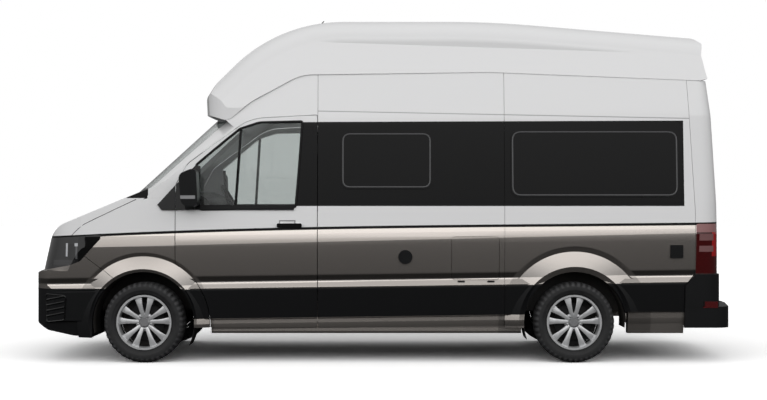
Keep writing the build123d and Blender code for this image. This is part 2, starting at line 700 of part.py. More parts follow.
scuttle_rows = (
    (DOOR_FRONT_X + DOOR_GAP, 1393.0),
    (1975.0, 1393.0),
    (2420.0, 1290.0),
    (2420.0, 1560.0),
    (1345.0, 2400.0),
    (DOOR_REAR_X - JOINT_GAP, 2520.0),
    (DOOR_REAR_X - JOINT_GAP, 1900.0),
)
cab_region = prism_y(outline(scuttle_rows), -1200, 1200)
CHEEK_Y = 800.0
cheek_face = outline((
    (DOOR_REAR_X, 1990.0),
    (1262.0, 1990.0),
    (1342.0, 2060.0),
    (1100.0, 2500.0),
    (DOOR_REAR_X, 2500.0),
))
cheek = prism_y(cheek_face, CHEEK_Y, SIDE_Y_HIGH)
cab_outer = (screen_cone(0) + cheek + mirrored(cheek)) & side_solid(0) & cab_region
cab_inner = screen_cone(WALL) & side_solid(WALL)
SCREEN_ROWS = (
    # y, z, corner radius
    (-838.0, 1476.0, 60.0),
    (838.0, 1476.0, 60.0),
    (718.0, 2058.0, 50.0),
    (-718.0, 2058.0, 50.0),
)
SCREEN_LAP = 26.0
screen_face = outline(SCREEN_ROWS)
screen_shell = screen_cone(0) - screen_cone(GLASS)
SCREEN_X = (1000.0, 2300.0)
windscreen = screen_shell & prism_x(screen_face, *SCREEN_X)
screen_pocket = screen_cone(-SCREEN_LAP) - screen_cone(GLASS + GAP)
screen_pocket &= prism_x(offset(screen_face, GAP), *SCREEN_X)
screen_hole = prism_x(offset(screen_face, -SCREEN_LAP), *SCREEN_X)
door_hole = prism_y(door_hole_face, SIDE_Y_LOW, SIDE_Y_HIGH)
cab_frame = cab_outer - cab_inner
cab_frame -= screen_pocket
cab_frame -= screen_hole
cab_frame -= door_hole + mirrored(door_hole)
cab_frame -= prism_y(outline(moved_in([*ROOF_ROWS, *reversed(GUTTER_ROWS)], -GAP)), -1200, 1200)
PARTS["cab_frame"] = cab_frame
PARTS["windscreen"] = windscreen

# Nose: silhouette turned about an upright axis, with rounded corners
NOSE_PLAN_R = 5200.0
NOSE_TURN_X = NOSE_X - NOSE_PLAN_R
NOSE_REAR_X = 1180.0
BONNET_FALL = 0.421
BONNET_EDGE = (NOSE_X - 122.0, 1138.0)
BLACK_TOP_Z = 629.0
NOSE_ROWS = (
    # x, z, corner radius
    (NOSE_X - 514.0, 216.0, 0.0),
    (NOSE_X - 294.0, 230.0, 150.0),
    (NOSE_X - 89.0, 278.0, 60.0),
    (NOSE_X, 338.0, 25.0),
    (NOSE_X, 764.0, 14.0),
    (NOSE_X - 43.0, 778.0, 6.0),
    (BONNET_EDGE[0], BONNET_EDGE[1], 230.0),
    (NOSE_TURN_X, BONNET_EDGE[1] + BONNET_FALL * (BONNET_EDGE[0] - NOSE_TURN_X), 0.0),
    (NOSE_TURN_X, 216.0, 0.0),
)
BUMPER_CORNER_R = 230.0
LAMP_CORNER_R = 370.0
NOSE_CORNER_Y = 1018.0


def nose_form(inset):
    """Front end's outer form, moved in by a wall thickness."""
    rows = moved_in(NOSE_ROWS, inset)
    rows[-1] = (NOSE_TURN_X, *rows[-1][1:])
    rows[-2] = (NOSE_TURN_X, *rows[-2][1:])
    form = turned(outline(rows), NOSE_TURN_X)
    form &= box((NOSE_REAR_X, -SIDE_Y_HIGH, 0), (NOSE_X + 100, SIDE_Y_HIGH, 1900))
    split_z = NOSE_ROWS[5][1]
    lean = (NOSE_ROWS[5][0] - BONNET_EDGE[0]) / (BONNET_EDGE[1] - split_z)
    set_back = NOSE_X - NOSE_ROWS[5][0]
    plans = []
    for corner_r in (BUMPER_CORNER_R, LAMP_CORNER_R):
        plan = Pos(NOSE_TURN_X, 0) * Circle(NOSE_X - NOSE_TURN_X + 2 - inset)
        plan &= Pos(NOSE_X - 800, 0) * Rectangle(2400, 2 * (NOSE_CORNER_Y - inset))
        plans.append(fillet(plan.vertices().sort_by(Axis.X)[-2:], corner_r - inset))
    lower = prism_z(plans[0], 100, split_z)
    upper_long = SIDE_Y_HIGH * sqrt(1 + lean ** 2)
    upper = extrude(Pos(-set_back, 0, split_z) * plans[1], upper_long, dir=(-lean, 0, 1))
    return form & (lower + upper) & side_solid(inset)


nose_outer = nose_form(0)
nose_shell = nose_outer - nose_form(NOSE_WALL)
BONNET_HALF = 707.0
BONNET_REAR_X = 2062.0
BONNET_LIP_Z = 1049.0
cab_keep_out = screen_cone(-DOOR_GAP) & prism_y(outline(moved_in(scuttle_rows, -JOINT_GAP)), -1200, 1200)
bonnet = nose_shell & box((BONNET_REAR_X, -BONNET_HALF, BONNET_LIP_Z), (NOSE_X, BONNET_HALF, 1700))
bonnet -= cab_keep_out
PARTS["bonnet"] = bonnet

GRILLE_HALF = 550.0
BUMPER_TOP_Z = 780.0
GRILLE_Z = (BUMPER_TOP_Z + GAP, BONNET_LIP_Z - DOOR_GAP)
SLOT_COUNT = 5
SLAT = 16.0
grille = nose_shell & box((2500, -GRILLE_HALF, GRILLE_Z[0]), (3100, GRILLE_HALF, GRILLE_Z[1]))
slot_pitch = (GRILLE_Z[1] - GRILLE_Z[0] - SLAT) / SLOT_COUNT
for i in range(SLOT_COUNT):
    slot_z = GRILLE_Z[0] + SLAT + i * slot_pitch
    grille -= box((2500, -GRILLE_HALF + 40, slot_z), (3100, GRILLE_HALF - 40, slot_z + slot_pitch - SLAT))
STOP_Y = 400.0
stop_x = NOSE_TURN_X + sqrt((BONNET_EDGE[0] + 26 - NOSE_TURN_X) ** 2 - STOP_Y ** 2) - NOSE_WALL / 2
for hand in (1, -1):
    stop_middle = (GRILLE_Z[1] + BONNET_LIP_Z - GAP) / 2 - 4
    stop_high = BONNET_LIP_Z - GAP - GRILLE_Z[1] + 8
    grille += Pos(stop_x, hand * STOP_Y, stop_middle) * Cylinder(10, stop_high)
PARTS["grille"] = grille

HEADLAMP_ROWS = (
    (2383.0, 1082.0, 8.0),
    (3050.0, 1036.0, 0.0),
    (3050.0, BUMPER_TOP_Z + GAP, 0.0),
    (2900.0, BUMPER_TOP_Z + GAP, 0.0),
    (2650.0, 824.0 + GAP, 60.0),
    (2556.5, 860.0 + GAP, 40.0),
    (2383.0, 1050.0, 8.0),
)
lamp_side = GRILLE_HALF + GAP
headlamp_face = outline(HEADLAMP_ROWS)
headlamp = nose_shell & prism_y(headlamp_face, lamp_side, 1200)
headlamp_room = prism_y(offset(headlamp_face, GAP), GRILLE_HALF, 1300)
headlamp -= box((2000, 0, BONNET_LIP_Z - DOOR_GAP), (3200, BONNET_HALF + DOOR_GAP, 1200))
PARTS["headlamps"] = Compound(children=[headlamp.solid(), mirrored(headlamp).solid()])

BUMPER_ROWS = (
    (2270.0, BLACK_TOP_Z + GAP),
    (2270.0, 712.0),
    (2532.0, 910.0),
    (2566.0, 866.0),
    (2660.0, 830.0),
    (2900.0, BUMPER_TOP_Z, 0.0),
    (3100.0, BUMPER_TOP_Z),
    (3100.0, BLACK_TOP_Z + GAP),
)
arch_tool = prism_y(arch_cut(front_wheel, FRONT_ARCH_R), -1300, 1300)
bumper_tool = prism_y(outline(BUMPER_ROWS), -1300, 1300) - arch_tool
front_bumper = (nose_shell & bumper_tool) - front_flare_cut - mirrored(front_flare_cut)
front_bumper += (front_flare + mirrored(front_flare)) & bumper_tool
front_bumper -= headlamp_room + mirrored(headlamp_room)
front_bumper -= box((2500, -GRILLE_HALF - GAP, BUMPER_TOP_Z), (3100, GRILLE_HALF + GAP, 1100))
PARTS["front_bumper"] = front_bumper

lower_rows = (
    (2300.0, 150.0),
    (2300.0, BLACK_TOP_Z),
    (3100.0, BLACK_TOP_Z),
    (3100.0, 150.0),
)
lower_tool = prism_y(outline(lower_rows), -1300, 1300) - arch_tool
lower_bumper = (nose_shell + front_flare + mirrored(front_flare)) & lower_tool
lower_bumper &= box((NOSE_REAR_X, -SIDE_Y_HIGH, NOSE_ROWS[0][1]), (NOSE_X, SIDE_Y_HIGH, BLACK_TOP_Z))
PARTS["front_bumper_lower"] = lower_bumper

WING_ROWS = (
    (1758.0, DOOR_FOOT_Z),
    (2267.0, DOOR_FOOT_Z),
    (2267.0, 714.0),
    (2528.0, 913.0),
    (2390.0, 1055.0),
    (2390.0, 1080.0),
    (3050.0, 1034.0),
    (3050.0, 1120.0),
    (2200.0, 1600.0),
    (1758.0, 1600.0),
)
wing_face = outline(WING_ROWS)
wing_tail = (front_wheel * Circle(WING_EDGE_R)) & (Pos(1500, DOOR_FOOT_Z + 400) * Rectangle(520, 800))
wing_face = (wing_face + wing_tail) - arch_cut(front_wheel, FRONT_ARCH_R)
wing_tool = prism_y(wing_face, BONNET_HALF + DOOR_GAP, 1300)
wing = (nose_shell & wing_tool) - headlamp_room - front_flare_cut
wing += front_flare & prism_y(wing_face & (front_wheel * Circle(WING_EDGE_R)), 800, 1300)
wing -= screen_cone(-GAP) & prism_y(outline(moved_in(scuttle_rows, -GAP)), -1200, 1200)
PARTS["front_wings"] = Compound(children=[wing.solid(), mirrored(wing).solid()])

# Sills under the doors and behind the rear wheels
SILL_Y = (865.0, 958.0)
SILL_WEB = 35.0
sill_face = outline((
    (SILL_Y[0], SILL_FOOT_Z),
    (SILL_Y[1] - 10, SILL_FOOT_Z),
    (SILL_Y[1], SILL_FOOT_Z + 20, 6.0),
    (SILL_Y[1], DOOR_FOOT_Z - GAP),
    (SILL_Y[0] + SILL_WEB, DOOR_FOOT_Z - GAP),
    (SILL_Y[0] + SILL_WEB, FLOOR_TOP_Z - FLOOR_THICK - GAP),
    (SILL_Y[0], FLOOR_TOP_Z - FLOOR_THICK - GAP),
))
LINER_R = 440.0
LINER_WALL = 8.0
SILL_FRONT_X = 1455.0
SILL_REAR_X = REAR_AXLE_X + LINER_R + LINER_WALL + 2
sill = prism_x(sill_face, SILL_REAR_X, SILL_FRONT_X)
tail_sill_face = outline((
    (SILL_Y[0], SILL_FOOT_Z),
    (SILL_Y[1] - 8, SILL_FOOT_Z),
    (SILL_Y[1] + 27, TAIL_SILL_Z - GAP),
    (SILL_Y[0] + SILL_WEB, TAIL_SILL_Z - GAP),
    (SILL_Y[0] + SILL_WEB, FLOOR_TOP_Z - FLOOR_THICK - GAP),
    (SILL_Y[0], FLOOR_TOP_Z - FLOOR_THICK - GAP),
))
tail_sill = prism_x(tail_sill_face, TAIL_X, REAR_AXLE_X - LINER_R - LINER_WALL - 2)
PARTS["sills"] = Compound(children=[
    sill.solid(), mirrored(sill).solid(), tail_sill.solid(), mirrored(tail_sill).solid()])

# Floor with wheel housings and the bulkhead in front of the cab
FLOOR_HALF = 930.0
LINER_FOOT_Z = 420.0
LINER_IN_Y = 538.0
REAR_LINER_IN_Y = 690.0
BULKHEAD_X = 1850.0
BULKHEAD_TOP_Z = 1300.0
floor_low = FLOOR_TOP_Z - FLOOR_THICK
FLOOR_REAR_X = REAR_X + 80.0
floor_pan = box((FLOOR_REAR_X, -FLOOR_HALF, floor_low), (BULKHEAD_X, FLOOR_HALF, FLOOR_TOP_Z))
floor_pan += box((BULKHEAD_X, -880, floor_low), (BULKHEAD_X + 30, 880, BULKHEAD_TOP_Z))
for wheel_x, inner_y in ((FRONT_AXLE_X, LINER_IN_Y), (REAR_AXLE_X, REAR_LINER_IN_Y)):
    for hand in (1, -1):
        ends = sorted((hand * (inner_y - LINER_WALL), hand * FLOOR_HALF))
        room_ends = sorted((hand * inner_y, hand * 1300))
        drum = disc_y(wheel_x, TYRE_R, LINER_R + LINER_WALL, *ends)
        drum &= box((wheel_x - 600, -1300, LINER_FOOT_Z), (wheel_x + 600, 1300, 900))
        floor_pan += drum
        floor_pan -= disc_y(wheel_x, TYRE_R, LINER_R, *room_ends)
PARTS["floor_pan"] = floor_pan

# Chassis rails with cross members
RAIL_Y = 430.0
RAIL_W = 80.0
RAIL_Z = (400.0, floor_low - GAP)
RAIL_REAR_X = BUMPER_INNER_X + GAP
RAIL_STEP_Z = DOOR_FOOT_REAR_Z - DOOR_GAP
rails = None
for hand in (1, -1):
    ends = sorted((hand * (RAIL_Y - RAIL_W / 2), hand * (RAIL_Y + RAIL_W / 2)))
    rail = box((FLOOR_REAR_X, ends[0], RAIL_Z[0]), (2750, ends[1], RAIL_Z[1]))
    rail += box((RAIL_REAR_X, ends[0], RAIL_Z[0]), (FLOOR_REAR_X, ends[1], RAIL_STEP_Z))
    rails = rail if rails is None else rails + rail
for cross_x in (-2750.0, -2150.0, -1000.0, 100.0, 1200.0, 2700.0):
    rails += box((cross_x - 30, -RAIL_Y, RAIL_Z[0] + 20), (cross_x + 30, RAIL_Y, RAIL_Z[1] - 10))
rails += nose_form(NOSE_WALL + GAP) & box((2740, -620, RAIL_Z[0] + 10), (3000, 620, RAIL_Z[1] - 10))
TOW_X, TOW_Y, TOW_Z = -2760.0, 300.0, (330.0, 350.0)
TOW_R, TOW_HOLE_R = 42.0, 20.0
rails += box((TOW_X - 10, TOW_Y - 40, TOW_Z[0]), (TOW_X + 30, TOW_Y + 40, RAIL_Z[0] + 40))
tow_x = TOW_X - TOW_R - 4
rails += Pos(tow_x, TOW_Y, sum(TOW_Z) / 2) * Cylinder(TOW_R, TOW_Z[1] - TOW_Z[0])
rails -= Pos(tow_x, TOW_Y, sum(TOW_Z) / 2) * Cylinder(TOW_HOLE_R, 60)
PARTS["chassis_rails"] = rails

# Engine and gearbox as one block
engine = box((2080, -340, 500), (2640, 340, 1020))
engine = fillet(engine.edges().filter_by(Axis.Z), 40)
engine += box((1890, -200, RAIL_Z[1] + 60), (2080, 200, 800))
engine += box((2300, -RAIL_Y, RAIL_Z[1] + GAP), (2400, RAIL_Y, RAIL_Z[1] + 50))
PARTS["engine_block"] = engine

# Running gear
ARM_Z = (206.0, 232.0)
PIN_R = 15.0
subframe = box((FRONT_AXLE_X - 150, -520, 250), (FRONT_AXLE_X + 150, 520, RAIL_Z[0] - GAP))
subframe -= box((FRONT_AXLE_X - 110, -360, 240), (FRONT_AXLE_X + 110, 360, 420))
front_axle = subframe
for hand in (1, -1):
    eye = Pos(FRONT_AXLE_X, hand * KINGPIN_Y, sum(ARM_Z) / 2) * Cylinder(32, ARM_Z[1] - ARM_Z[0])
    arm_rows = (
        (FRONT_AXLE_X - 140, hand * 440.0),
        (FRONT_AXLE_X - 22, hand * (KINGPIN_Y - 10)),
        (FRONT_AXLE_X + 22, hand * (KINGPIN_Y - 10)),
        (FRONT_AXLE_X + 140, hand * 440.0),
    )
    arm = prism_z(make_face(Polyline(*arm_rows, close=True)), *ARM_Z)
    arm_root = box((FRONT_AXLE_X - 140, min(hand * 430, hand * 515), ARM_Z[0]),
                   (FRONT_AXLE_X + 140, max(hand * 430, hand * 515), 260))
    front_axle += arm + eye + arm_root
    front_axle -= Pos(FRONT_AXLE_X, hand * KINGPIN_Y, sum(ARM_Z) / 2) * Cylinder(PIN_R + 0.3, 80)
PARTS["front_axle"] = front_axle

SPINDLE_END_Y = WHEEL_Y + 48.0
KNUCKLE_Z = (240.0, 450.0)
knuckle = Pos(FRONT_AXLE_X, KINGPIN_Y, (200 + KNUCKLE_Z[0]) / 2) * Cylinder(PIN_R, KNUCKLE_Z[0] - 200)
KNUCKLE_HALF = (35.0, 28.0)
knuckle += box(
    (FRONT_AXLE_X - KNUCKLE_HALF[0], KINGPIN_Y - KNUCKLE_HALF[1], KNUCKLE_Z[0]),
    (FRONT_AXLE_X + KNUCKLE_HALF[0], KINGPIN_Y + KNUCKLE_HALF[1], KNUCKLE_Z[1]),
)
knuckle += disc_y(FRONT_AXLE_X, TYRE_R, SPINDLE_R, KINGPIN_Y, SPINDLE_END_Y)
knuckle += disc_y(FRONT_AXLE_X, TYRE_R, 75, KINGPIN_Y, KINGPIN_Y + 40)
PARTS["knuckle_left"] = knuckle
PARTS["knuckle_right"] = mirrored(knuckle)

rear_axle = disc_y(REAR_AXLE_X, TYRE_R, 55, -(KINGPIN_Y - 20), KINGPIN_Y - 20)
rear_axle += disc_y(REAR_AXLE_X, TYRE_R, SPINDLE_R, -SPINDLE_END_Y, SPINDLE_END_Y)
rear_axle += Pos(REAR_AXLE_X, 0, TYRE_R) * Sphere(130)
for hand in (1, -1):
    ends = sorted((hand * 520.0, hand * 590.0))
    leaf = box((REAR_AXLE_X - 650, ends[0], 405), (REAR_AXLE_X + 650, ends[1], 430))
    pad = box((REAR_AXLE_X - 60, ends[0], TYRE_R), (REAR_AXLE_X + 60, ends[1], 410))
    rear_axle += leaf + pad
    for x in (REAR_AXLE_X - 640, REAR_AXLE_X + 620):
        rear_axle += box((x, ends[0], 405), (x + 20, ends[1], floor_low - GAP))
PARTS["rear_axle"] = rear_axle

# Fuel tank and exhaust under the floor
tank = box((300, 500, 300), (1150, 860, floor_low - GAP))
PARTS["fuel_tank"] = fillet(tank.edges(), 40)
silencer = disc_y(0, 0, 95, -450, 450)
silencer = Pos(-450, -650, 400) * Rot(0, 0, 90) * silencer
tail_pipe = Pos(-1100, -650, 400) * Rot(0, 90, 0) * Cylinder(30, 600)
hanger = box((-470, -660, 480), (-430, -640, floor_low - GAP))
PARTS["exhaust"] = silencer + tail_pipe + hanger

# Wheels: tyre, and an alloy rim with five pairs of spokes
tyre_rows = (
    # radius, distance from the middle plane, corner radius
    (RIM_R - 8, -86.0, 0.0),
    (RIM_R + 3, -86.0, 0.0),
    (RIM_R + 22, -TYRE_WIDTH / 2, 20.0),
    (TYRE_R - 16, -TYRE_WIDTH / 2 + 14, 30.0),
    (TYRE_R, -TYRE_WIDTH / 2 + 40, 40.0),
    (TYRE_R, TYRE_WIDTH / 2 - 40, 40.0),
    (TYRE_R - 16, TYRE_WIDTH / 2 - 14, 30.0),
    (RIM_R + 22, TYRE_WIDTH / 2, 20.0),
    (RIM_R + 3, 86.0, 0.0),
    (RIM_R - 8, 86.0, 0.0),
)
tyre = revolve(outline(tyre_rows), Axis.Y)
rim_rows = (
    (RIM_R - 8.4, -88.0),
    (RIM_R, -90.0),
    (RIM_R, -95.0),
    (RIM_R - 16, -95.0),
    (RIM_R - 24, -60.0),
    (RIM_R - 24, 60.0),
    (RIM_R - 16, 95.0),
    (RIM_R, 95.0),
    (RIM_R, 90.0),
    (RIM_R - 8.4, 88.0),
)
rim = revolve(outline(rim_rows), Axis.Y)
HUB_R = 78.0
DISC_R = 158.0
DISC_Y = (-28.0, -6.0)
hub_rows = (
    (SPINDLE_R + 0.3, DISC_Y[0]),
    (DISC_R, DISC_Y[0]),
    (DISC_R, DISC_Y[1]),
    (HUB_R, DISC_Y[1]),
    (HUB_R, 40.0),
    (36.0, 62.0),
    (SPINDLE_R + 0.3, 62.0),
)
rim += revolve(outline(hub_rows), Axis.Y)
rim += disc_y(0, 0, 36, 54, 70)
SPOKE_PAIRS = 5
SPOKE_SPREAD = 15.0
spoke_face = outline(((50.0, -17.0), (50.0, 17.0), (RIM_R - 20, 13.0), (RIM_R - 20, -13.0)))
SPOKE_Y = (22.0, 60.0)
SPOKE_BEVEL = 7.0
spoke = prism_y(spoke_face, *SPOKE_Y)
spoke = chamfer(spoke.faces().sort_by(Axis.Y)[-1].edges().filter_by(lambda e: e.length > 100), SPOKE_BEVEL)
for i in range(SPOKE_PAIRS):
    for lean in (-SPOKE_SPREAD, SPOKE_SPREAD):
        rim += Rot(0, 90 + i * 360 / SPOKE_PAIRS + lean, 0) * spoke
rim -= disc_y(0, 0, SPINDLE_R + 0.3, DISC_Y[0] - 1, SPINDLE_END_Y - WHEEL_Y + 0.5)
for name, x, hand in (
    ("front_left", FRONT_AXLE_X, 1),
    ("front_right", FRONT_AXLE_X, -1),
    ("rear_left", REAR_AXLE_X, 1),
    ("rear_right", REAR_AXLE_X, -1),
):
    turn = Rot(0, 0, 0) if hand > 0 else Rot(0, 0, 180)
    place = Pos(x, hand * WHEEL_Y, TYRE_R) * turn
    PARTS[f"tyre_{name}"] = place * tyre
    PARTS[f"rim_{name}"] = place * rim

# Cab interior: dashboard with steering column, seats on their bases
SHELF_TOP_Z = 1436.0
dash_face = outline((
    (BULKHEAD_X - GAP, 1000.0),
    (BULKHEAD_X - GAP, SHELF_TOP_Z),
    (1640.0, SHELF_TOP_Z + 14, 40.0),
    (1480.0, 1380.0, 60.0),
    (1500.0, 1080.0, 60.0),
    (1640.0, 1000.0, 0.0),
))
DASH_HALF = 880.0
dashboard = prism_y(dash_face, -DASH_HALF, DASH_HALF)
shelf = box(
    (BULKHEAD_X - WALL, -DASH_HALF, BULKHEAD_TOP_Z + GAP),
    (SCREEN_FOOT[0], DASH_HALF, SHELF_TOP_Z),
)
dashboard += shelf & screen_cone(WALL + DOOR_GAP) & side_solid(WALL + DOOR_GAP)
STEER_Y = 420.0
STEER_X, STEER_Z = 1330.0, 1330.0
STEER_LEAN = 62.0
column_place = Pos(STEER_X, STEER_Y, STEER_Z) * Rot(0, -STEER_LEAN, 0)
dashboard += (column_place * Pos(0, 0, -150) * Cylinder(32, 260)) & box((1300, 0, 900), (1900, 900, 1500))
dashboard += box((BULKHEAD_X - 80, -200, FLOOR_TOP_Z + GAP), (BULKHEAD_X - GAP, 200, 1010))
WHEEL_RING_R = 188.0
steering_wheel = Torus(WHEEL_RING_R, 15)
HUB_DEEP = 28.0
steering_wheel += Pos(0, 0, 4 - HUB_DEEP / 2) * Cylinder(62, HUB_DEEP + 8)
for turn_deg in (0, 180, 270):
    bar = box((20, -18, -16), (WHEEL_RING_R, 18, 0))
    steering_wheel += Rot(0, 0, turn_deg) * bar
steering_wheel = column_place * steering_wheel
dashboard -= column_place * Pos(0, 0, 60 - HUB_DEEP - GAP) * Cylinder(230, 120)
PARTS["dashboard"] = dashboard
PARTS["steering_wheel"] = steering_wheel

SEAT_Y = 420.0
seat_face = outline((
    (760.0, 850.0, 20.0),
    (1270.0, 850.0, 50.0),
    (1290.0, 985.0, 60.0),
    (880.0, 950.0, 70.0),
    (700.0, 1600.0, 40.0),
    (560.0, 1590.0, 60.0),
))
seat = prism_y(seat_face, SEAT_Y - 250, SEAT_Y + 250)
HEADREST_HALF = 130.0
headrest_face = outline((
    (560.0, 1640.0, 20.0),
    (650.0, 1640.0, 20.0),
    (630.0, 1840.0, 40.0),
    (540.0, 1830.0, 40.0),
))
headrest = prism_y(headrest_face, SEAT_Y - HEADREST_HALF, SEAT_Y + HEADREST_HALF)
for post in (-60.0, 60.0):
    headrest += Pos(615, SEAT_Y + post, 1610) * Cylinder(8, 90)
seat += headrest
base = box((800, SEAT_Y - 210, FLOOR_TOP_Z), (1240, SEAT_Y + 210, 850 - GAP))
PARTS["seat_driver"] = seat
PARTS["seat_passenger"] = mirrored(seat)
PARTS["seat_bases"] = Compound(children=[base.solid(), mirrored(base).solid()])

# Roof fittings: two hatches, a round dome and a rod aerial
HATCH_HIGH = 24.0
DOME_X, DOME_R, DOME_HIGH = -778.0, 172.0, 62.0
AERIAL_FOOT_X = 655.0
AERIAL_LONG = 160.0
AERIAL_LEAN = 45.0
hatch_rows = (
    # front x, rear x, half width
    (248.0, -326.0, 290.0),
    (-1646.0, -2203.0, 300.0),
)


CROWN_ROWS = [*ROOF_ROWS, (ROOF_ROWS[-1][0], ROOF_FLOOR_Z), (ROOF_ROWS[0][0], ROOF_FLOOR_Z)]


def on_roof(high):
    """Space above the roof's crown, from just off its skin up to a height."""
    over = outline(moved_in(CROWN_ROWS, -high)) - outline(moved_in(CROWN_ROWS, -GAP))
    return prism_y(over, -1000, 1000)


hatches = []
for front_x, rear_x, half in hatch_rows:
    plan = Pos((front_x + rear_x) / 2, 0) * RectangleRounded(front_x - rear_x, 2 * half, 45)
    hatches.append((on_roof(HATCH_HIGH) & prism_z(plan, 2500, 3100)).solid())
dome = on_roof(DOME_HIGH) & prism_z(Pos(DOME_X, 0) * Circle(DOME_R), 2500, 3100)
dome = fillet(dome.edges().sort_by(Axis.Z)[-1:], 45)
PARTS["roof_hatches"] = Compound(children=[*hatches, dome.solid()])
aerial_foot_z = ROOF_ROWS[3][1] - 24.0
aerial_turn = Pos(AERIAL_FOOT_X, 0, aerial_foot_z) * Rot(0, -AERIAL_LEAN, 0)
aerial = aerial_turn * Pos(0, 0, AERIAL_LONG / 2) * Cylinder(4, AERIAL_LONG)
aerial += Pos(AERIAL_FOOT_X, 0, aerial_foot_z) * Cylinder(22, 50)
aerial -= prism_y(outline(moved_in(CROWN_ROWS, -GAP)), -SIDE_Y_HIGH, SIDE_Y_HIGH)
PARTS["aerial"] = aerial.solid()


for name, part in PARTS.items():
    export_step(part, f"parts/{name}.step")
    print(name, round(part.volume))
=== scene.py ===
"""A high-roof camper van: finishes, glazing, lamps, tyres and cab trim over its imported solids."""

import math

import bmesh
import bpy
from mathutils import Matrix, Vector


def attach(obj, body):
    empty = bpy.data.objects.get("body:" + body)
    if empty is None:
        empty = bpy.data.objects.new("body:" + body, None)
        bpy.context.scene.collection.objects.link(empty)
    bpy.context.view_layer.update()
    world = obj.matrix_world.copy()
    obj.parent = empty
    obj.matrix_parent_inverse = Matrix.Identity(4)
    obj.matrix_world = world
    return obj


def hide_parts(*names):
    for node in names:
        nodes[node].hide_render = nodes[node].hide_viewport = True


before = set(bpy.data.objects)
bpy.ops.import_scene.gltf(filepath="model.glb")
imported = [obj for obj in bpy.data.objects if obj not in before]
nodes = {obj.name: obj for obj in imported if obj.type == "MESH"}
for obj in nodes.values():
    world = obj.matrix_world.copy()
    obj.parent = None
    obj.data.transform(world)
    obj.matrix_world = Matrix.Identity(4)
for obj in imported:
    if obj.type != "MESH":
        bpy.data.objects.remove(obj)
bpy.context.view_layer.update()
bpy.ops.object.select_all(action="DESELECT")


# Underside: floor pan, rails, axles, tank and exhaust. Pressed and welded steel with a black
# dip coat that has gone dull with road dust; the tank is moulded plastic, the exhaust bare steel.
class Wire:
    """An output socket of a finish; sums and products of wires add the Math nodes they need."""

    def __init__(self, tree, socket=None):
        self.tree = tree
        self.socket = socket

    def make(self, kind, settings=None, sockets=None, output=0):
        """Adds a node, sets it up, fills or joins its sockets and returns one of its outputs."""
        node = self.tree.nodes.new(kind)
        for name, value in (settings or {}).items():
            setattr(node, name, value)
        for key, value in (sockets or {}).items():
            if isinstance(value, Wire):
                self.tree.links.new(value.socket, node.inputs[key])
            else:
                node.inputs[key].default_value = value
        return Wire(self.tree, node.outputs[output])

    def maths(self, operation, left, right):
        return self.make("ShaderNodeMath", {"operation": operation}, {0: left, 1: right})

    def __add__(self, other):
        return self.maths("ADD", self, other)

    def __radd__(self, other):
        return self.maths("ADD", other, self)

    def __sub__(self, other):
        return self.maths("SUBTRACT", self, other)

    def __rsub__(self, other):
        return self.maths("SUBTRACT", other, self)

    def __mul__(self, other):
        return self.maths("MULTIPLY", self, other)

    def __rmul__(self, other):
        return self.maths("MULTIPLY", other, self)

    def highest(self, other):
        return self.maths("MAXIMUM", self, other)

    def lowest(self, other):
        return self.maths("MINIMUM", self, other)

    def size(self):
        return self.maths("ABSOLUTE", self, 0.0)

    def sine(self):
        return self.maths("SINE", self, 0.0)

    def over(self, edge, soft=0.001):
        """0 below an edge and 1 above it, blended over a short way."""
        spread = {"Value": self, "From Min": edge - soft, "From Max": edge + soft}
        return self.make("ShaderNodeMapRange", None, spread)

    def between(self, low, high, soft=0.001):
        return self.over(low, soft) * (1 - self.over(high, soft))

    def ramp(self, low, high):
        """One number where this is 0 and another where it is 1."""
        return low + self * (high - low)

    def mix(self, low, high):
        """One colour where this is 0 and another where it is 1."""
        return self.make("ShaderNodeMix", {"data_type": "RGBA"}, {0: self, 6: low, 7: high}, 2)

    def noise(self, scale, detail=3.0):
        """Clouds of 0 to 1 over this place."""
        return self.make("ShaderNodeTexNoise", None, {"Vector": self, "Scale": scale, "Detail": detail})

    def axes(self):
        """This place's three coordinates."""
        split = self.make("ShaderNodeSeparateXYZ", None, {0: self})
        return [Wire(self.tree, socket) for socket in split.socket.node.outputs]

    def bump(self, distance):
        return self.make("ShaderNodeBump", None, {"Height": self, "Distance": distance, "Strength": 1.0})

    def into(self, shader, name):
        self.tree.links.new(self.socket, shader.inputs[name])


def new_finish(name, **fixed):
    """A material with its shader, and the place on the piece that its pattern follows."""
    material = bpy.data.materials.new(name)
    material.use_nodes = True
    shader = material.node_tree.nodes["Principled BSDF"]
    for socket, value in fixed.items():
        shader.inputs[socket.replace("_", " ")].default_value = value
    place = Wire(material.node_tree).make("ShaderNodeTexCoord", output="Object")
    return material, shader, place


def finish_nodes(material, slot, *names):
    """Gives solids of the frame their finish."""
    for name in names:
        nodes[name].data.materials.clear()
        nodes[name].data.materials.append(material)


UNDERSIDE_BLACK = (0.012, 0.012, 0.013, 1.0)
ROAD_DUST = (0.050, 0.045, 0.040, 1.0)
underside, shader, place = new_finish("underside_coat", Specular_IOR_Level=0.3)
dust = place.noise(scale=3.0, detail=6.0).over(edge=0.55, soft=0.25)
dust.mix(UNDERSIDE_BLACK, ROAD_DUST).into(shader, "Base Color")
dust.ramp(low=0.5, high=0.85).into(shader, "Roughness")
place.noise(scale=140.0).bump(distance=0.0006).into(shader, "Normal")
finish_nodes(
    underside, "chassis_metal",
    "floor_pan", "chassis_rails", "front_axle", "rear_axle", "knuckle_left", "knuckle_right", "fuel_tank",
)

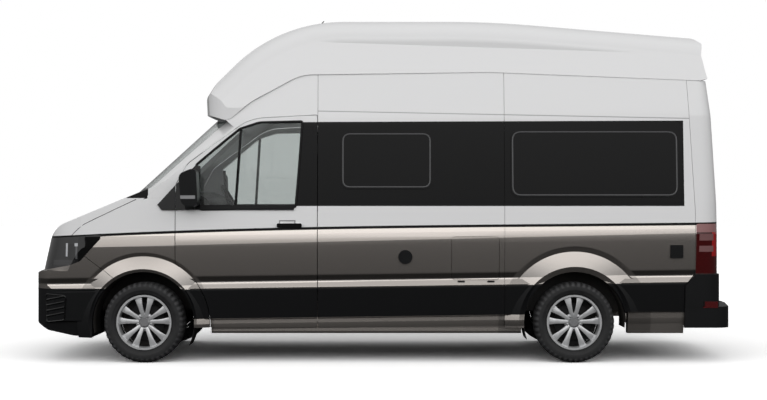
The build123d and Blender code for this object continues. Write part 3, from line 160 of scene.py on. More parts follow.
CAST_GREY = (0.16, 0.16, 0.165, 1.0)
CAST_STAIN = (0.06, 0.055, 0.05, 1.0)
cast_metal, shader, place = new_finish("cast_metal", Metallic=0.7)
stain = place.noise(scale=9.0, detail=5.0).over(edge=0.55, soft=0.2)
stain.mix(CAST_GREY, CAST_STAIN).into(shader, "Base Color")
stain.ramp(low=0.42, high=0.72).into(shader, "Roughness")
place.noise(scale=260.0).bump(distance=0.0004).into(shader, "Normal")
finish_nodes(cast_metal, "chassis_metal", "engine_block", "exhaust")


# Tyres: black rubber cured in a mould, with bead rings on the wall, three ribs on the crown and
# shoulder blocks parted by slots. Each is pressed onto its rim.
def draw(points):
    """Draws a line of edges through points, one vertex after the other."""
    bpy.ops.object.select_all(action="DESELECT")
    bpy.ops.mesh.primitive_plane_add(size=0.01, location=points[0])
    bpy.ops.object.mode_set(mode="EDIT")
    bpy.ops.mesh.select_mode(type="VERT")
    bpy.ops.mesh.select_all(action="SELECT")
    bpy.ops.mesh.merge(type="CENTER")
    for start, end in zip(points, points[1:]):
        step = Vector(end) - Vector(start)
        bpy.ops.mesh.extrude_vertices_move(TRANSFORM_OT_translate={"value": step})
    bpy.ops.mesh.select_all(action="SELECT")


def pick(test):
    """Selects the faces of the piece in hand whose middle and direction, in its own axes, pass a test."""
    bpy.ops.mesh.select_mode(type="FACE")
    bpy.ops.mesh.select_all(action="DESELECT")
    piece = bpy.context.object
    form = bmesh.from_edit_mesh(piece.data)
    for face in form.faces:
        face.select_set(bool(test(piece.location + face.calc_center_median(), face.normal)))
    form.select_flush_mode()
    bmesh.update_edit_mesh(piece.data)


def finish_piece(name, material, smooth=30):
    """Ends the edit, sets the piece's place into its mesh and gives it name and finish."""
    bpy.ops.object.mode_set(mode="OBJECT")
    bpy.ops.object.transform_apply(location=True, rotation=True, scale=True)
    bpy.ops.object.shade_smooth_by_angle(angle=math.radians(smooth))
    piece = bpy.context.object
    piece.name = name
    piece.data.name = name
    piece.data.materials.clear()
    piece.data.materials.append(material)
    return piece


def take_up(piece):
    """Makes a piece the one that the next edit works on."""
    bpy.ops.object.select_all(action="DESELECT")
    piece.select_set(True)
    bpy.context.view_layer.objects.active = piece


def another(piece, name, move=(0, 0, 0), turned_over=False):
    """A copy with its own mesh, moved along, or set on the other side of the vehicle."""
    take_up(piece)
    bpy.ops.object.duplicate(linked=False)
    copy = bpy.context.object
    bpy.ops.object.mode_set(mode="EDIT")
    bpy.ops.mesh.select_all(action="SELECT")
    bpy.ops.transform.translate(value=move)
    if turned_over:
        bpy.ops.transform.resize(value=(1, -1, 1), center_override=(0, 0, 0))
        bpy.ops.mesh.flip_normals()
    bpy.ops.object.mode_set(mode="OBJECT")
    copy.name = name
    copy.data.name = name
    return copy


WHEEL_X = {"front": 2.026, "rear": -1.614}
WHEEL_Y = 0.865
AXLE_Z = 0.340
AXLE_STEP = (WHEEL_X["rear"] - WHEEL_X["front"], 0, 0)


def at_each_wheel(piece, name):
    """Copies a piece of the front left wheel to the other three, and rides each on its wheel."""
    pieces = {
        "front_left": piece,
        "front_right": another(piece, f"{name}_front_right", turned_over=True),
        "rear_left": another(piece, f"{name}_rear_left", AXLE_STEP),
        "rear_right": another(piece, f"{name}_rear_right", AXLE_STEP, turned_over=True),
    }
    for corner, copy in pieces.items():
        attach(copy, f"wheel_{corner}")
    return pieces


TYRE_BLACK = (0.012, 0.012, 0.0125, 1.0)
TYRE_WORN = (0.028, 0.028, 0.029, 1.0)
TICK_PAINTED_LIGHT = (0.055, 0.055, 0.057, 1.0)
TICK_R = 0.306
TREAD_TICKS = 44.0
rubber, shader, place = new_finish("tyre_rubber", Specular_IOR_Level=0.35)
scuff = place.noise(scale=24.0, detail=6.0).over(edge=0.5, soft=0.3)
x, _, z = place.axes()
# One pattern serves both axles: the length is folded at the middle of the wheelbase.
fold_x = (WHEEL_X["front"] + WHEEL_X["rear"]) / 2
across = (x - fold_x).size() - (WHEEL_X["front"] - fold_x)
up = z - AXLE_Z
# Every other step round the shoulder is painted lighter grey than the rubber: painted light and shade of
# the shoulder blocks and slots.
tick = (across.maths("ARCTAN2", up, across) * TREAD_TICKS).sine().over(edge=0.0, soft=0.5)
shoulder = (across * across + up * up).over(edge=TICK_R * TICK_R, soft=0.003)
(shoulder * tick).mix(scuff.mix(TYRE_BLACK, TYRE_WORN), TICK_PAINTED_LIGHT).into(shader, "Base Color")
scuff.ramp(low=0.55, high=0.75).into(shader, "Roughness")
place.noise(scale=420.0).bump(distance=0.0003).into(shader, "Normal")

TYRE_HALF_SECTION = (
    # radius, distance from the wheel's middle
    (0.2345, 0.090),
    (0.2480, 0.102),
    (0.2500, 0.1055),
    (0.2530, 0.1060),
    (0.2550, 0.1070),
    (0.2720, 0.1140),
    (0.2740, 0.1155),
    (0.2780, 0.1160),
    (0.2950, 0.1165),
    (0.3120, 0.1140),
    (0.3250, 0.1070),
    (0.3345, 0.0960),
    (0.3380, 0.0840),
    (0.3385, 0.0660),
    (0.3310, 0.0640),
    (0.3310, 0.0560),
    (0.3390, 0.0540),
    (0.3398, 0.0180),
    (0.3320, 0.0165),
    (0.3320, 0.0085),
    (0.3398, 0.0070),
)
TYRE_STEPS = 120
SLOT_EVERY = 3
SLOT_DEPTH = 0.006
SLOT_SIDES = (0.066, 0.111)
SLOT_INNER_R = 0.315
wheel_middle = (WHEEL_X["front"], WHEEL_Y, AXLE_Z)
section = list(TYRE_HALF_SECTION) + [(radius, -side) for radius, side in reversed(TYRE_HALF_SECTION)]
section.append(section[0])
draw([(WHEEL_X["front"] + radius, WHEEL_Y + side, AXLE_Z) for radius, side in section])
bpy.ops.mesh.remove_doubles(threshold=0.0001)
bpy.ops.mesh.spin(steps=TYRE_STEPS, angle=math.tau, center=wheel_middle, axis=(0, 1, 0))
bpy.ops.mesh.select_all(action="SELECT")
bpy.ops.mesh.remove_doubles(threshold=0.0002)
bpy.ops.mesh.normals_make_consistent(inside=False)


def in_slot(middle, normal):
    """True on the faces of the tyre's shoulders that lie in a slot between two blocks."""
    across, up = middle.x - WHEEL_X["front"], middle.z - AXLE_Z
    step = int((math.atan2(up, across) + math.pi) / math.tau * TYRE_STEPS)
    on_side = SLOT_SIDES[0] < abs(middle.y - WHEEL_Y) < SLOT_SIDES[1]
    return on_side and math.hypot(across, up) > SLOT_INNER_R and step % SLOT_EVERY == 0


pick(in_slot)
bpy.ops.mesh.extrude_region_shrink_fatten(TRANSFORM_OT_shrink_fatten={"value": -SLOT_DEPTH})
front_tyre = finish_piece("tyre_rubber_front_left", rubber)
for corner, tyre in at_each_wheel(front_tyre, "tyre_rubber").items():
    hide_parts(f"tyre_{corner}")


# Rims: cast alloy, turned bright on the spokes' faces under a clear lacquer, with the brake disc
# behind the spokes. Five ball-seat bolts hold each rim, round a pressed-in cap.
ALLOY_BRIGHT = (0.66, 0.665, 0.675, 1.0)
ALLOY_DULL = (0.54, 0.545, 0.55, 1.0)
ALLOY_PAINTED_SHADE = (0.030, 0.030, 0.031, 1.0)
SPOKE_BACK = 0.884
alloy, shader, place = new_finish("alloy", Coat_Roughness=0.1)
cloud = place.noise(scale=60.0, detail=4.0)
# Everything behind the spokes' back is painted near black: painted shade inside the barrel.
outer = place.axes()[1].size().over(SPOKE_BACK, soft=0.004)
outer.mix(ALLOY_PAINTED_SHADE, cloud.mix(ALLOY_BRIGHT, ALLOY_DULL)).into(shader, "Base Color")
outer.ramp(low=0.25, high=0.50).into(shader, "Metallic")
(outer.ramp(low=0.55, high=0.30) + cloud.ramp(low=0.0, high=0.08)).into(shader, "Roughness")
outer.ramp(low=0.0, high=0.5).into(shader, "Coat Weight")
rims = {}
for end, axle_x in WHEEL_X.items():
    for side in ("left", "right"):
        corner = f"{end}_{side}"
        rim = bpy.data.objects.new(f"rim_alloy_{corner}", nodes[f"rim_{corner}"].data.copy())
        bpy.context.scene.collection.objects.link(rim)
        take_up(rim)
        bpy.ops.object.mode_set(mode="EDIT")
        bpy.ops.mesh.select_all(action="SELECT")
        bpy.ops.mesh.remove_doubles(threshold=0.00001)
        bpy.ops.transform.rotate(
            value=math.pi, orient_axis="Y", orient_type="GLOBAL", center_override=(axle_x, 0, AXLE_Z))
        rims[corner] = finish_piece(f"rim_alloy_{corner}", alloy)
        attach(rim, f"wheel_{corner}")

RAY_START_Y = 3.0


def skin_y(names, x, z):
    """Distance of the outermost left surface of some solids from the vehicle's middle plane."""
    found = 0.0
    for name in names:
        hit, where, *_ = nodes[name].ray_cast((x, RAY_START_Y, z), (0, -1, 0))
        if hit:
            found = max(found, where.y)
    return found


def speckled(name, low, high, scale, detail=3.0, **fixed):
    """A finish clouded between two colours, with its shader and its clouds."""
    material, shader, place = new_finish(name, **fixed)
    clouds = place.noise(scale, detail)
    clouds.mix(low, high).into(shader, "Base Color")
    return material, shader, clouds


def disc(radius, thick, middle, corners):
    """Starts a round plate square to the axles; its own axes stay unturned until it is finished."""
    bpy.ops.object.select_all(action="DESELECT")
    bpy.ops.mesh.primitive_cylinder_add(
        vertices=corners, radius=radius, depth=thick, rotation=(math.pi / 2, 0, 0), location=middle)
    bpy.ops.object.mode_set(mode="EDIT")
    bpy.ops.mesh.select_all(action="SELECT")


def joined(pieces, name, material):
    """Joins pieces of a wheel into one."""
    bpy.ops.object.select_all(action="DESELECT")
    for piece in pieces:
        piece.select_set(True)
    bpy.ops.object.join()
    return finish_piece(name, material)


def plate(points, out):
    """A plate with an outline of points, as thick as one step."""
    draw(list(points) + [points[0]])
    bpy.ops.mesh.remove_doubles(threshold=0.0001)
    bpy.ops.mesh.edge_face_add()
    bpy.ops.mesh.extrude_region_move(TRANSFORM_OT_translate={"value": out})
    bpy.ops.mesh.select_all(action="SELECT")
    bpy.ops.mesh.normals_make_consistent(inside=False)


STEEL_BRIGHT = (0.46, 0.46, 0.47, 1.0)
STEEL_DULL = (0.30, 0.30, 0.31, 1.0)
bright_steel, shader, tarnish = speckled(
    "bright_steel", STEEL_BRIGHT, STEEL_DULL, scale=80.0, detail=4.0, Metallic=0.9)
tarnish.ramp(low=0.25, high=0.40).into(shader, "Roughness")
FRONT_RIM = ["rim_front_left"]
BOLTS = 5
FIRST_BOLT_TURN = 54
BOLT_CIRCLE = 0.058
BOLT_R = 0.0115
BOLT_OUT = 0.010
BOLT_EDGE = 0.002
wheel_x = WHEEL_X["front"]
bolts = []
for number in range(BOLTS):
    angle = math.radians(FIRST_BOLT_TURN + 360 / BOLTS * number)
    bolt_x = wheel_x + BOLT_CIRCLE * math.cos(angle)
    bolt_z = AXLE_Z + BOLT_CIRCLE * math.sin(angle)
    bolt_y = skin_y(FRONT_RIM, bolt_x, bolt_z)
    disc(BOLT_R, BOLT_OUT, (bolt_x, bolt_y + BOLT_OUT / 2, bolt_z), corners=6)
    bpy.ops.mesh.bevel(offset=BOLT_EDGE, segments=2)
    bolts.append(finish_piece(f"wheel_bolt_{number}", bright_steel))
wheel_bolts = joined(bolts, "wheel_bolts_front_left", bright_steel)

CAP_R = 0.034
CAP_OUT = 0.008
CAP_STEP_FROM = 0.9 * CAP_OUT
cap_y = skin_y(FRONT_RIM, wheel_x, AXLE_Z)
disc(CAP_R, CAP_OUT, (wheel_x, cap_y + CAP_OUT / 2, AXLE_Z), corners=40)
# The upper half of the cap's edge gets a narrow step.
pick(lambda middle, normal: middle.y > cap_y + CAP_STEP_FROM)
bpy.ops.mesh.inset(thickness=0.005)
bpy.ops.mesh.inset(thickness=0.002, depth=-0.002)
wheel_cap = finish_piece("wheel_cap_front_left", bright_steel)

SPOKE_ROWS = (
    # radius, half width
    (0.046, 0.012),
    (0.150, 0.0205),
    (0.226, 0.0330),
)
SPOKE_PAIRS = 5
SPOKE_APART = 15
SPOKE_THICK = 0.004
SPOKE_EDGE = 0.0015
SPOKE_FACE_Y = WHEEL_Y + 0.060
spokes = []
for pair in range(SPOKE_PAIRS):
    for side in (-SPOKE_APART, SPOKE_APART):
        angle = math.radians(90 + 360 / SPOKE_PAIRS * pair + side)
        along = Vector((math.cos(angle), 0, math.sin(angle)))
        across = Vector((-math.sin(angle), 0, math.cos(angle)))
        middle = Vector((wheel_x, SPOKE_FACE_Y, AXLE_Z))
        edge = [middle + along * radius + across * half for radius, half in SPOKE_ROWS]
        edge += [middle + along * radius - across * half for radius, half in reversed(SPOKE_ROWS)]
        plate(edge, (0, SPOKE_THICK, 0))
        bpy.ops.mesh.bevel(offset=SPOKE_EDGE, segments=2)
        spokes.append(finish_piece(f"spoke_face_{pair}_{side}", alloy))
spoke_faces = joined(spokes, "spoke_faces_front_left", alloy)
at_each_wheel(wheel_bolts, "wheel_bolts")
at_each_wheel(wheel_cap, "wheel_cap")
at_each_wheel(spoke_faces, "spoke_faces")
for corner, rim in rims.items():
    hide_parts(f"rim_{corner}")


# Body side: pressed steel panels and doors, white above a black stripe and beige metallic below it,
# with grained black cladding low down and a black band round the windows. Sprayed and lacquered.
WHITE = (0.90, 0.90, 0.905, 1.0)
BEIGE = (0.465, 0.428, 0.397, 1.0)
CLADDING = (0.0021, 0.0023, 0.0029, 1.0)
BAND_BLACK = (0.0018, 0.0018, 0.0020, 1.0)
PRESSED_LINE_SHADE = (0.42, 0.42, 0.425, 1.0)
LUSTRE_SHADE = 1.15
CREASE_PAINTED_SHADE = 0.25
FLARE_PAINTED_SHADE = 0.72
FLAKES = 1100.0
# The stripe's height is a cubic in x: level, fall, bow and turn.
STRIPE_Z = 1.1477
STRIPE_FALL = 0.01439
STRIPE_BOW = 0.003829
STRIPE_TURN = 0.00088
STRIPE_HALF = 0.0115
SIDE_RISE = math.tan(math.radians(0.77))
SIDE_RISE_X = -0.4
CLADDING_LEVELS = (0.402, 0.6505)
CREASE_LEVELS = (0.712, 0.758)
CREASE_SOFT = 0.006
BAND_FOOT = 1.325
BAND_HEAD = 2.0382
BAND_HEAD_FALL = 0.0039
BAND_REAR_X = -2.535
SHOULDER_Z = 1.036
SHOULDER_RISE = 0.0235
SHOULDER_LEAN = 0.085
SHOULDER_CURVE = 0.22
FLANK_SWEEP = 0.22
FLANK_DEPTH = 0.34
FLARE_R = {"front": 0.592, "rear": 0.645}
FLARE_SOFT = 0.006
SILL_BREAK = 0.356
SILL_LEAN = 0.12
SILL_DEPTH = 0.05
SILL_SWEEP = 4.0
SILL_LIP = 0.050
PRESSED_Z = 2.1185
PRESSED_RISE = 0.020
PRESSED_HALF = 0.004
PAINT_METAL = 0.85
PAINT_COAT = 0.8
PAINT_ROUGH = 0.30
CLADDING_ROUGHER = 0.2
BEIGE_SMOOTHER = 0.06
BLACK_SMOOTHER = 0.1


def side_form(x, z, level):
    """How far the beige part of the side falls back from its fullest line: shoulder, flank, sill."""
    from_shoulder = z - (SHOULDER_Z - SHOULDER_RISE * x)
    above = from_shoulder.highest(0.0)
    below = (0 - from_shoulder).highest(0.0).lowest(FLANK_DEPTH)
    over_sill = (level - SILL_BREAK).highest(0.0).lowest(SILL_DEPTH)
    under_sill = (SILL_BREAK - level).highest(0.0).lowest(SILL_LIP)
    fall = above * SHOULDER_LEAN + above * above * SHOULDER_CURVE + below * below * FLANK_SWEEP
    on_sill = 1 - level.over(CLADDING_LEVELS[0])
    return fall + on_sill * (over_sill * SILL_LEAN + under_sill * under_sill * SILL_SWEEP)


def off_flares(x, z):
    """0 on the bands round the wheel arches and 1 elsewhere."""
    masks = []
    for end, radius in FLARE_R.items():
        off_axle = (x - WHEEL_X[end]) * (x - WHEEL_X[end]) + (z - AXLE_Z) * (z - AXLE_Z)
        masks.append(off_axle.over(radius * radius, FLARE_SOFT))
    return masks[0] * masks[1]


def shade(colour, share):
    """A colour made lighter or darker."""
    return tuple(share * part for part in colour[:3]) + (1.0,)


def body_finish(name, band_front=None, beige_below=True, cladding=True, black_where=None):
    """Two-tone paint; band_front is where the black window band starts."""
    material, shader, place = new_finish(name, Coat_Roughness=0.03, Specular_IOR_Level=0.18)
    x, y, z = place.axes()
    from_stripe = z - (STRIPE_Z - STRIPE_FALL * x - STRIPE_BOW * (x * x) - STRIPE_TURN * (x * x * x))
    level = z + (x - SIDE_RISE_X) * SIDE_RISE
    lower = (1 - from_stripe.over(0.0)) * float(beige_below)
    clad = level.between(*CLADDING_LEVELS) * lower * float(cladding)
    black = (1 - from_stripe.size().over(STRIPE_HALF)) * float(beige_below)
    upper = WHITE
    if band_front is not None:
        head_z = BAND_HEAD - BAND_HEAD_FALL * x
        band = z.over(BAND_FOOT) * (1 - (z - head_z).over(0.0)) * x.between(BAND_REAR_X, band_front)
        black = black.highest(band)
        # The pressed line above the windows is painted grey on the white: painted shade in the groove.
        pressed = 1 - (z - (PRESSED_Z + PRESSED_RISE * x)).size().over(PRESSED_HALF)
        upper = pressed.mix(WHITE, PRESSED_LINE_SHADE)
    if black_where:
        black = black.highest(black_where(x, y, z))
    away = off_flares(x, z)
    beige = place.noise(FLAKES, detail=2.0).mix(BEIGE, shade(BEIGE, LUSTRE_SHADE))
    # On the bands round the wheel arches the beige is painted darker: painted shade on the flares.
    beige = away.mix(shade(BEIGE, FLARE_PAINTED_SHADE), beige)
    # A band along the crease low on the flank is painted dark: painted shade where the panel turns under.
    beige = (level.between(*CREASE_LEVELS, CREASE_SOFT) * away).mix(beige, shade(BEIGE, CREASE_PAINTED_SHADE))
    colour = black.mix(lower.mix(upper, beige), BAND_BLACK)
    clad.mix(colour, CLADDING).into(shader, "Base Color")
    dull = clad.highest(black)
    metal = lower * (1 - dull)
    (metal * PAINT_METAL).into(shader, "Metallic")
    smoother = metal * BEIGE_SMOOTHER + black * (1 - clad) * BLACK_SMOOTHER
    (PAINT_ROUGH + clad * CLADDING_ROUGHER - smoother).into(shader, "Roughness")
    ((1 - dull) * PAINT_COAT).into(shader, "Coat Weight")
    if beige_below:
        (0 - side_form(x, z, level) * lower).bump(distance=1.0).into(shader, "Normal")
    return material


def patch(x, z, across, up):
    """1 on an upright rectangle of the side view and 0 elsewhere."""
    return x.between(*across) * z.between(*up)


DOOR_BAR_FOOT = (1.253, 1.250)
DOOR_BAR_HEAD = (1.198, 2.080)
DOOR_BAR_Z = (1.322, 1.972)
DOOR_BAR_HALF = 0.0125
HANDLE_X = (0.680, 0.905)
HANDLE_Z = (1.140, 1.184)
HANDLE_SKIN_X = 0.63
HANDLE_CLEAR = 0.009
DOOR = ["front_door_left"]
handle_skin = skin_y(DOOR, HANDLE_SKIN_X, sum(HANDLE_Z) / 2)


def door_blacks(x, y, z):
    """The door's handle and the bar that parts its panes."""
    slope = (DOOR_BAR_HEAD[0] - DOOR_BAR_FOOT[0]) / (DOOR_BAR_HEAD[1] - DOOR_BAR_FOOT[1])
    from_bar = x - (DOOR_BAR_FOOT[0] + slope * (z - DOOR_BAR_FOOT[1]))
    bar = (1 - from_bar.size().over(DOOR_BAR_HALF)) * z.between(*DOOR_BAR_Z)
    handle = patch(x, z, HANDLE_X, HANDLE_Z) * y.size().over(handle_skin + HANDLE_CLEAR)
    return bar.highest(handle)


COWL_X = (1.985, 2.165)
COWL_Z = 1.392


def cowl_black(x, y, z):
    """The wings' rear upper corners, which belong to the black cowl under the windscreen."""
    return x.between(*COWL_X) * z.over(COWL_Z)


PANEL_BAND_FRONT = 0.80
DOOR_BAND_FRONT = 0.752
panel_paint = body_finish("panel_paint", PANEL_BAND_FRONT)
finish_nodes(
    panel_paint, "two_tone_paint",
    "side_panel_mid_left", "side_panel_rear_left", "side_panel_rear_right", "sliding_door", "service_flap",
)
door_paint = body_finish("door_paint", DOOR_BAND_FRONT, black_where=door_blacks)
finish_nodes(door_paint, "two_tone_paint", "front_door_left", "front_door_right")
wing_paint = body_finish("wing_paint", black_where=cowl_black)
finish_nodes(wing_paint, "two_tone_paint", "front_wings", "front_bumper")
rear_paint = body_finish("rear_paint", cladding=False)
finish_nodes(rear_paint, "two_tone_paint", "rear_corners", "rear_door_left", "rear_door_right", "sills")
white_paint = body_finish("white_paint", beige_below=False, cladding=False)
finish_nodes(white_paint, "white_paint", "bonnet", "roof_shell")


# Bumpers, grille, mirrors, caps and aerial: black plastic, moulded with a fine grain and clipped or
# screwed to the body. The mirrors' housings are smoother and carry a pale turn lamp.
GRAIN_BLACK = (0.006, 0.0063, 0.007, 1.0)
black_plastic, shader, grain = speckled(
    "black_plastic", CLADDING, GRAIN_BLACK, scale=500.0, detail=2.0, Specular_IOR_Level=0.18)
grain.ramp(low=0.42, high=0.57).into(shader, "Roughness")
grain.bump(distance=0.0004).into(shader, "Normal")
finish_nodes(
    black_plastic, "black_trim",
    "front_bumper_lower", "grille", "rear_bumper", "service_caps", "aerial",
)
REPEATER_GREY = (0.30, 0.30, 0.31, 1.0)
REPEATER_X = (1.560, 1.690)
REPEATER_Z = (1.386, 1.414)
mirror_plastic, shader, place = new_finish("mirror_plastic", Specular_IOR_Level=0.25, Roughness=0.3)
x, _, z = place.axes()
housing = place.noise(scale=300.0).mix(CLADDING, GRAIN_BLACK)
patch(x, z, REPEATER_X, REPEATER_Z).mix(housing, REPEATER_GREY).into(shader, "Base Color")
finish_nodes(mirror_plastic, "black_trim", "mirror_left", "mirror_right")


# Wheel houses: brake shields of pressed steel behind the rims, with a lip above and below, and
# moulded plastic liners round the arches. All are black; the liners are bolted to the body.
def on_both_sides(piece, name, left_body, right_body):
    """Rides a left piece on its body, and its mirrored twin on the other."""
    twin = another(piece, f"{name}_right", turned_over=True)
    piece.name = f"{name}_left"
    piece.data.name = piece.name
    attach(piece, left_body)
    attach(twin, right_body)
    return piece, twin


SHIELD_R = 0.208
SHIELD_Y = 0.806
SHIELD_THICK = 0.004
SHIELD_LIP = 0.03
disc(SHIELD_R, SHIELD_THICK, (WHEEL_X["front"], SHIELD_Y, AXLE_Z), corners=48)
# The top and the foot of the edge, which look along the disc's own y axis, grow into the lips.
pick(lambda middle, normal: abs(normal.y) > 0.9)
bpy.ops.mesh.inset(thickness=SHIELD_LIP)
bpy.ops.mesh.inset(thickness=0.004, depth=0.003)
shield = finish_piece("brake_shield_front_left", underside)
at_each_wheel(shield, "brake_shield")

LINER_R = 0.4265
LINER_Y = (0.66, 0.955)
# Where each liner starts and ends, in degrees about its axle.
LINER_TURN = {"front": (-12, 208), "rear": (-20, 186)}
LINER_STEPS = 40
LINER_THICK = 0.003


def arc(middle_x, radius, start, end, steps, y):
    """Points along an arc about an axle, from one angle to another."""
    points = []
    for step in range(steps + 1):
        angle = start + (end - start) * step / steps
        points.append((middle_x + radius * math.cos(angle), y, AXLE_Z + radius * math.sin(angle)))
    return points


for end, wheel_x in WHEEL_X.items():
    start, finish = (math.radians(turn) for turn in LINER_TURN[end])
    draw(arc(wheel_x, LINER_R, start, finish, LINER_STEPS, LINER_Y[0]))
    bpy.ops.mesh.extrude_edges_move(TRANSFORM_OT_translate={"value": (0, LINER_Y[1] - LINER_Y[0], 0)})
    bpy.ops.mesh.select_all(action="SELECT")
    bpy.ops.mesh.normals_make_consistent(inside=False)
    bpy.ops.object.mode_set(mode="OBJECT")
    thick = bpy.context.object.modifiers.new("thickness", "SOLIDIFY")
    thick.thickness = LINER_THICK
    thick.offset = 0.0
    bpy.ops.object.modifier_apply(modifier=thick.name)
    liner = finish_piece(f"wheel_liner_{end}", underside)
    on_both_sides(liner, f"wheel_liner_{end}", "body", "body")


# Cab doors: black rubber seals round the panes, a rubber trim under them, the glossy sail that
# carries the mirror, and a bowl in the skin behind the handle. All clipped or glued to the door.
SEAL_BLACK = (0.004, 0.004, 0.0043, 1.0)
SEAL_DULL = (0.008, 0.008, 0.0085, 1.0)
GLOSS_DULL = (0.006, 0.006, 0.0065, 1.0)
seal_rubber, *_ = speckled(
    "seal_rubber", SEAL_BLACK, SEAL_DULL, scale=300.0, Specular_IOR_Level=0.25, Roughness=0.55)
gloss_black, *_ = speckled(
    "gloss_black", BAND_BLACK, GLOSS_DULL, scale=40.0, Specular_IOR_Level=0.4, Roughness=0.18)


def tube(points, radius, closed=False):
    """A round bar along points."""
    draw(list(points) + ([points[0]] if closed else []))
    if closed:
        bpy.ops.mesh.remove_doubles(threshold=0.0001)
    bpy.ops.object.mode_set(mode="OBJECT")
    bpy.ops.object.convert(target="CURVE")
    line = bpy.context.object.data
    line.bevel_depth = radius
    line.bevel_resolution = 2
    line.use_fill_caps = True
    bpy.ops.object.convert(target="MESH")


CORNER_SHARES = (0.0, 0.25, 0.5, 0.75, 1.0)
CORNER_REACH = 0.45


def rounded(rows):
    """Points round an outline of x, z and corner radius, with its corners cut into short arcs."""
    points = []
    for number, (x, z, radius) in enumerate(rows):
        here = Vector((x, z))
        before = Vector(rows[number - 1][:2])
        after = Vector(rows[(number + 1) % len(rows)][:2])
        back = (before - here).normalized()
        ahead = (after - here).normalized()
        half = math.acos(max(-1.0, min(1.0, back.dot(ahead)))) / 2
        room = CORNER_REACH * min((before - here).length, (after - here).length)
        reach = min(radius / math.tan(half), room)
        for share in CORNER_SHARES:
            first = here + back * reach * (1 - share)
            second = here + ahead * reach * share
            points.append(first.lerp(second, share))
    return points


def spread(points, longest=0.12):
    """Adds points on the long runs of a closed outline."""
    result = []
    for start, end in zip(points, points[1:] + points[:1]):
        runs = max(1, math.ceil((end - start).length / longest))
        result += [start.lerp(end, run / runs) for run in range(runs)]
    return result


def laid(points, names, out=0.0):
    """Points of a side view set on the skin of some solids."""
    return [(x, skin_y(names, x, z) + out, z) for x, z in points]


def strip(points, across, out):
    """A band along a line of points, as wide as one step and as thick as another."""
    draw(points)
    bpy.ops.mesh.extrude_edges_move(TRANSFORM_OT_translate={"value": across})
    bpy.ops.mesh.select_all(action="SELECT")
    bpy.ops.mesh.extrude_region_move(TRANSFORM_OT_translate={"value": out})
    bpy.ops.mesh.select_all(action="SELECT")
    bpy.ops.mesh.normals_make_consistent(inside=False)


GLASS_ROWS = (
    # x, z, corner radius
    (1.540, 1.302, 0.025),
    (1.572, 1.672, 0.040),
    (1.212, 1.968, 0.060),
    (1.050, 2.022, 0.160),
    (0.694, 2.034, 0.014),
    (0.748, 1.322, 0.025),
)
GLASS_MIDDLE = Vector((1.13, 1.66))
SEAL_R = 0.011
SEAL_OUT = 0.002
SEAL_WIDER = 0.010
seal_line = []
for point in spread(rounded(GLASS_ROWS)):
    seal_line.append(point + (point - GLASS_MIDDLE).normalized() * SEAL_WIDER)
tube(laid(seal_line, DOOR, SEAL_OUT), SEAL_R, closed=True)
seal = finish_piece("door_seal", seal_rubber)
on_both_sides(seal, "door_seal", "front_door_left", "front_door_right")

FOOT_TRIM_X = 1.555
FOOT_TRIM_PITCH = 0.10
FOOT_TRIM_POINTS = 9
FOOT_TRIM_Z = (1.292, 1.336)
FOOT_TRIM_OUT = 0.003
FOOT_TRIM_LEAN = -0.004
FOOT_TRIM_THICK = 0.008
foot_line = [(FOOT_TRIM_X - FOOT_TRIM_PITCH * step, FOOT_TRIM_Z[0]) for step in range(FOOT_TRIM_POINTS)]
foot_up = (0, FOOT_TRIM_LEAN, FOOT_TRIM_Z[1] - FOOT_TRIM_Z[0])
strip(laid(foot_line, DOOR, FOOT_TRIM_OUT), foot_up, (0, FOOT_TRIM_THICK, 0))
foot_trim = finish_piece("pane_foot_trim", seal_rubber)
on_both_sides(foot_trim, "pane_foot_trim", "front_door_left", "front_door_right")

SAIL_X = 1.60
SAIL_Z = (1.29, 1.66)
SAIL_CLEAR = 0.001
SAIL_THICK = 0.012
# Outlines in x and z: the sail on the door, and its corner on the windscreen post.
SAIL_DOOR = ((1.7495, 1.290), (1.7495, 1.507), (1.590, 1.664), (1.545, 1.664), (1.540, 1.296))
SAIL_BODY = ((1.7555, 1.290), (1.7555, 1.501), (1.905, 1.336), (1.868, 1.290))
SAIL_PIECES = (
    # name, outline, body on the left, body on the right
    ("mirror_sail", SAIL_DOOR, "front_door_left", "front_door_right"),
    ("post_corner", SAIL_BODY, "body", "body"),
)
sail_y, sail_top_y = (skin_y(DOOR, SAIL_X, z) for z in SAIL_Z)
lean = (sail_top_y - sail_y) / (SAIL_Z[1] - SAIL_Z[0])
for name, outline, left_body, right_body in SAIL_PIECES:
    plate([(x, sail_y + lean * (z - SAIL_Z[0]) + SAIL_CLEAR, z) for x, z in outline], (0, SAIL_THICK, 0))
    sail = finish_piece(name, gloss_black)
    on_both_sides(sail, name, left_body, right_body)

BOWL_SHADE_GREY = (0.36, 0.36, 0.365, 1.0)
BOWL_SHADE_DULL = (0.33, 0.33, 0.335, 1.0)
BOWL_X = (0.742, 0.880)
BOWL_Z = (1.163, 1.207)
BOWL_SKIN_Z = 1.19
BOWL_THICK = 0.006
bowl_y = skin_y(DOOR, HANDLE_SKIN_X, BOWL_SKIN_Z)
bpy.ops.object.select_all(action="DESELECT")
bpy.ops.mesh.primitive_cube_add(
    size=1, location=(sum(BOWL_X) / 2, bowl_y, sum(BOWL_Z) / 2),
    scale=(BOWL_X[1] - BOWL_X[0], BOWL_THICK, BOWL_Z[1] - BOWL_Z[0]))
bpy.ops.object.mode_set(mode="EDIT")
pick(lambda middle, normal: normal.y > 0.9)
bpy.ops.mesh.inset(thickness=0.005)
bpy.ops.mesh.inset(thickness=0.008, depth=-0.005)
# The bowl is painted grey on the white door: painted shade in its hollow.
bowl_shade, *_ = speckled("bowl_shade", BOWL_SHADE_GREY, BOWL_SHADE_DULL, scale=90.0, Roughness=0.3, Coat_Weight=0.5)
bowl = finish_piece("handle_bowl", bowl_shade)
on_both_sides(bowl, "handle_bowl", "front_door_left", "front_door_right")


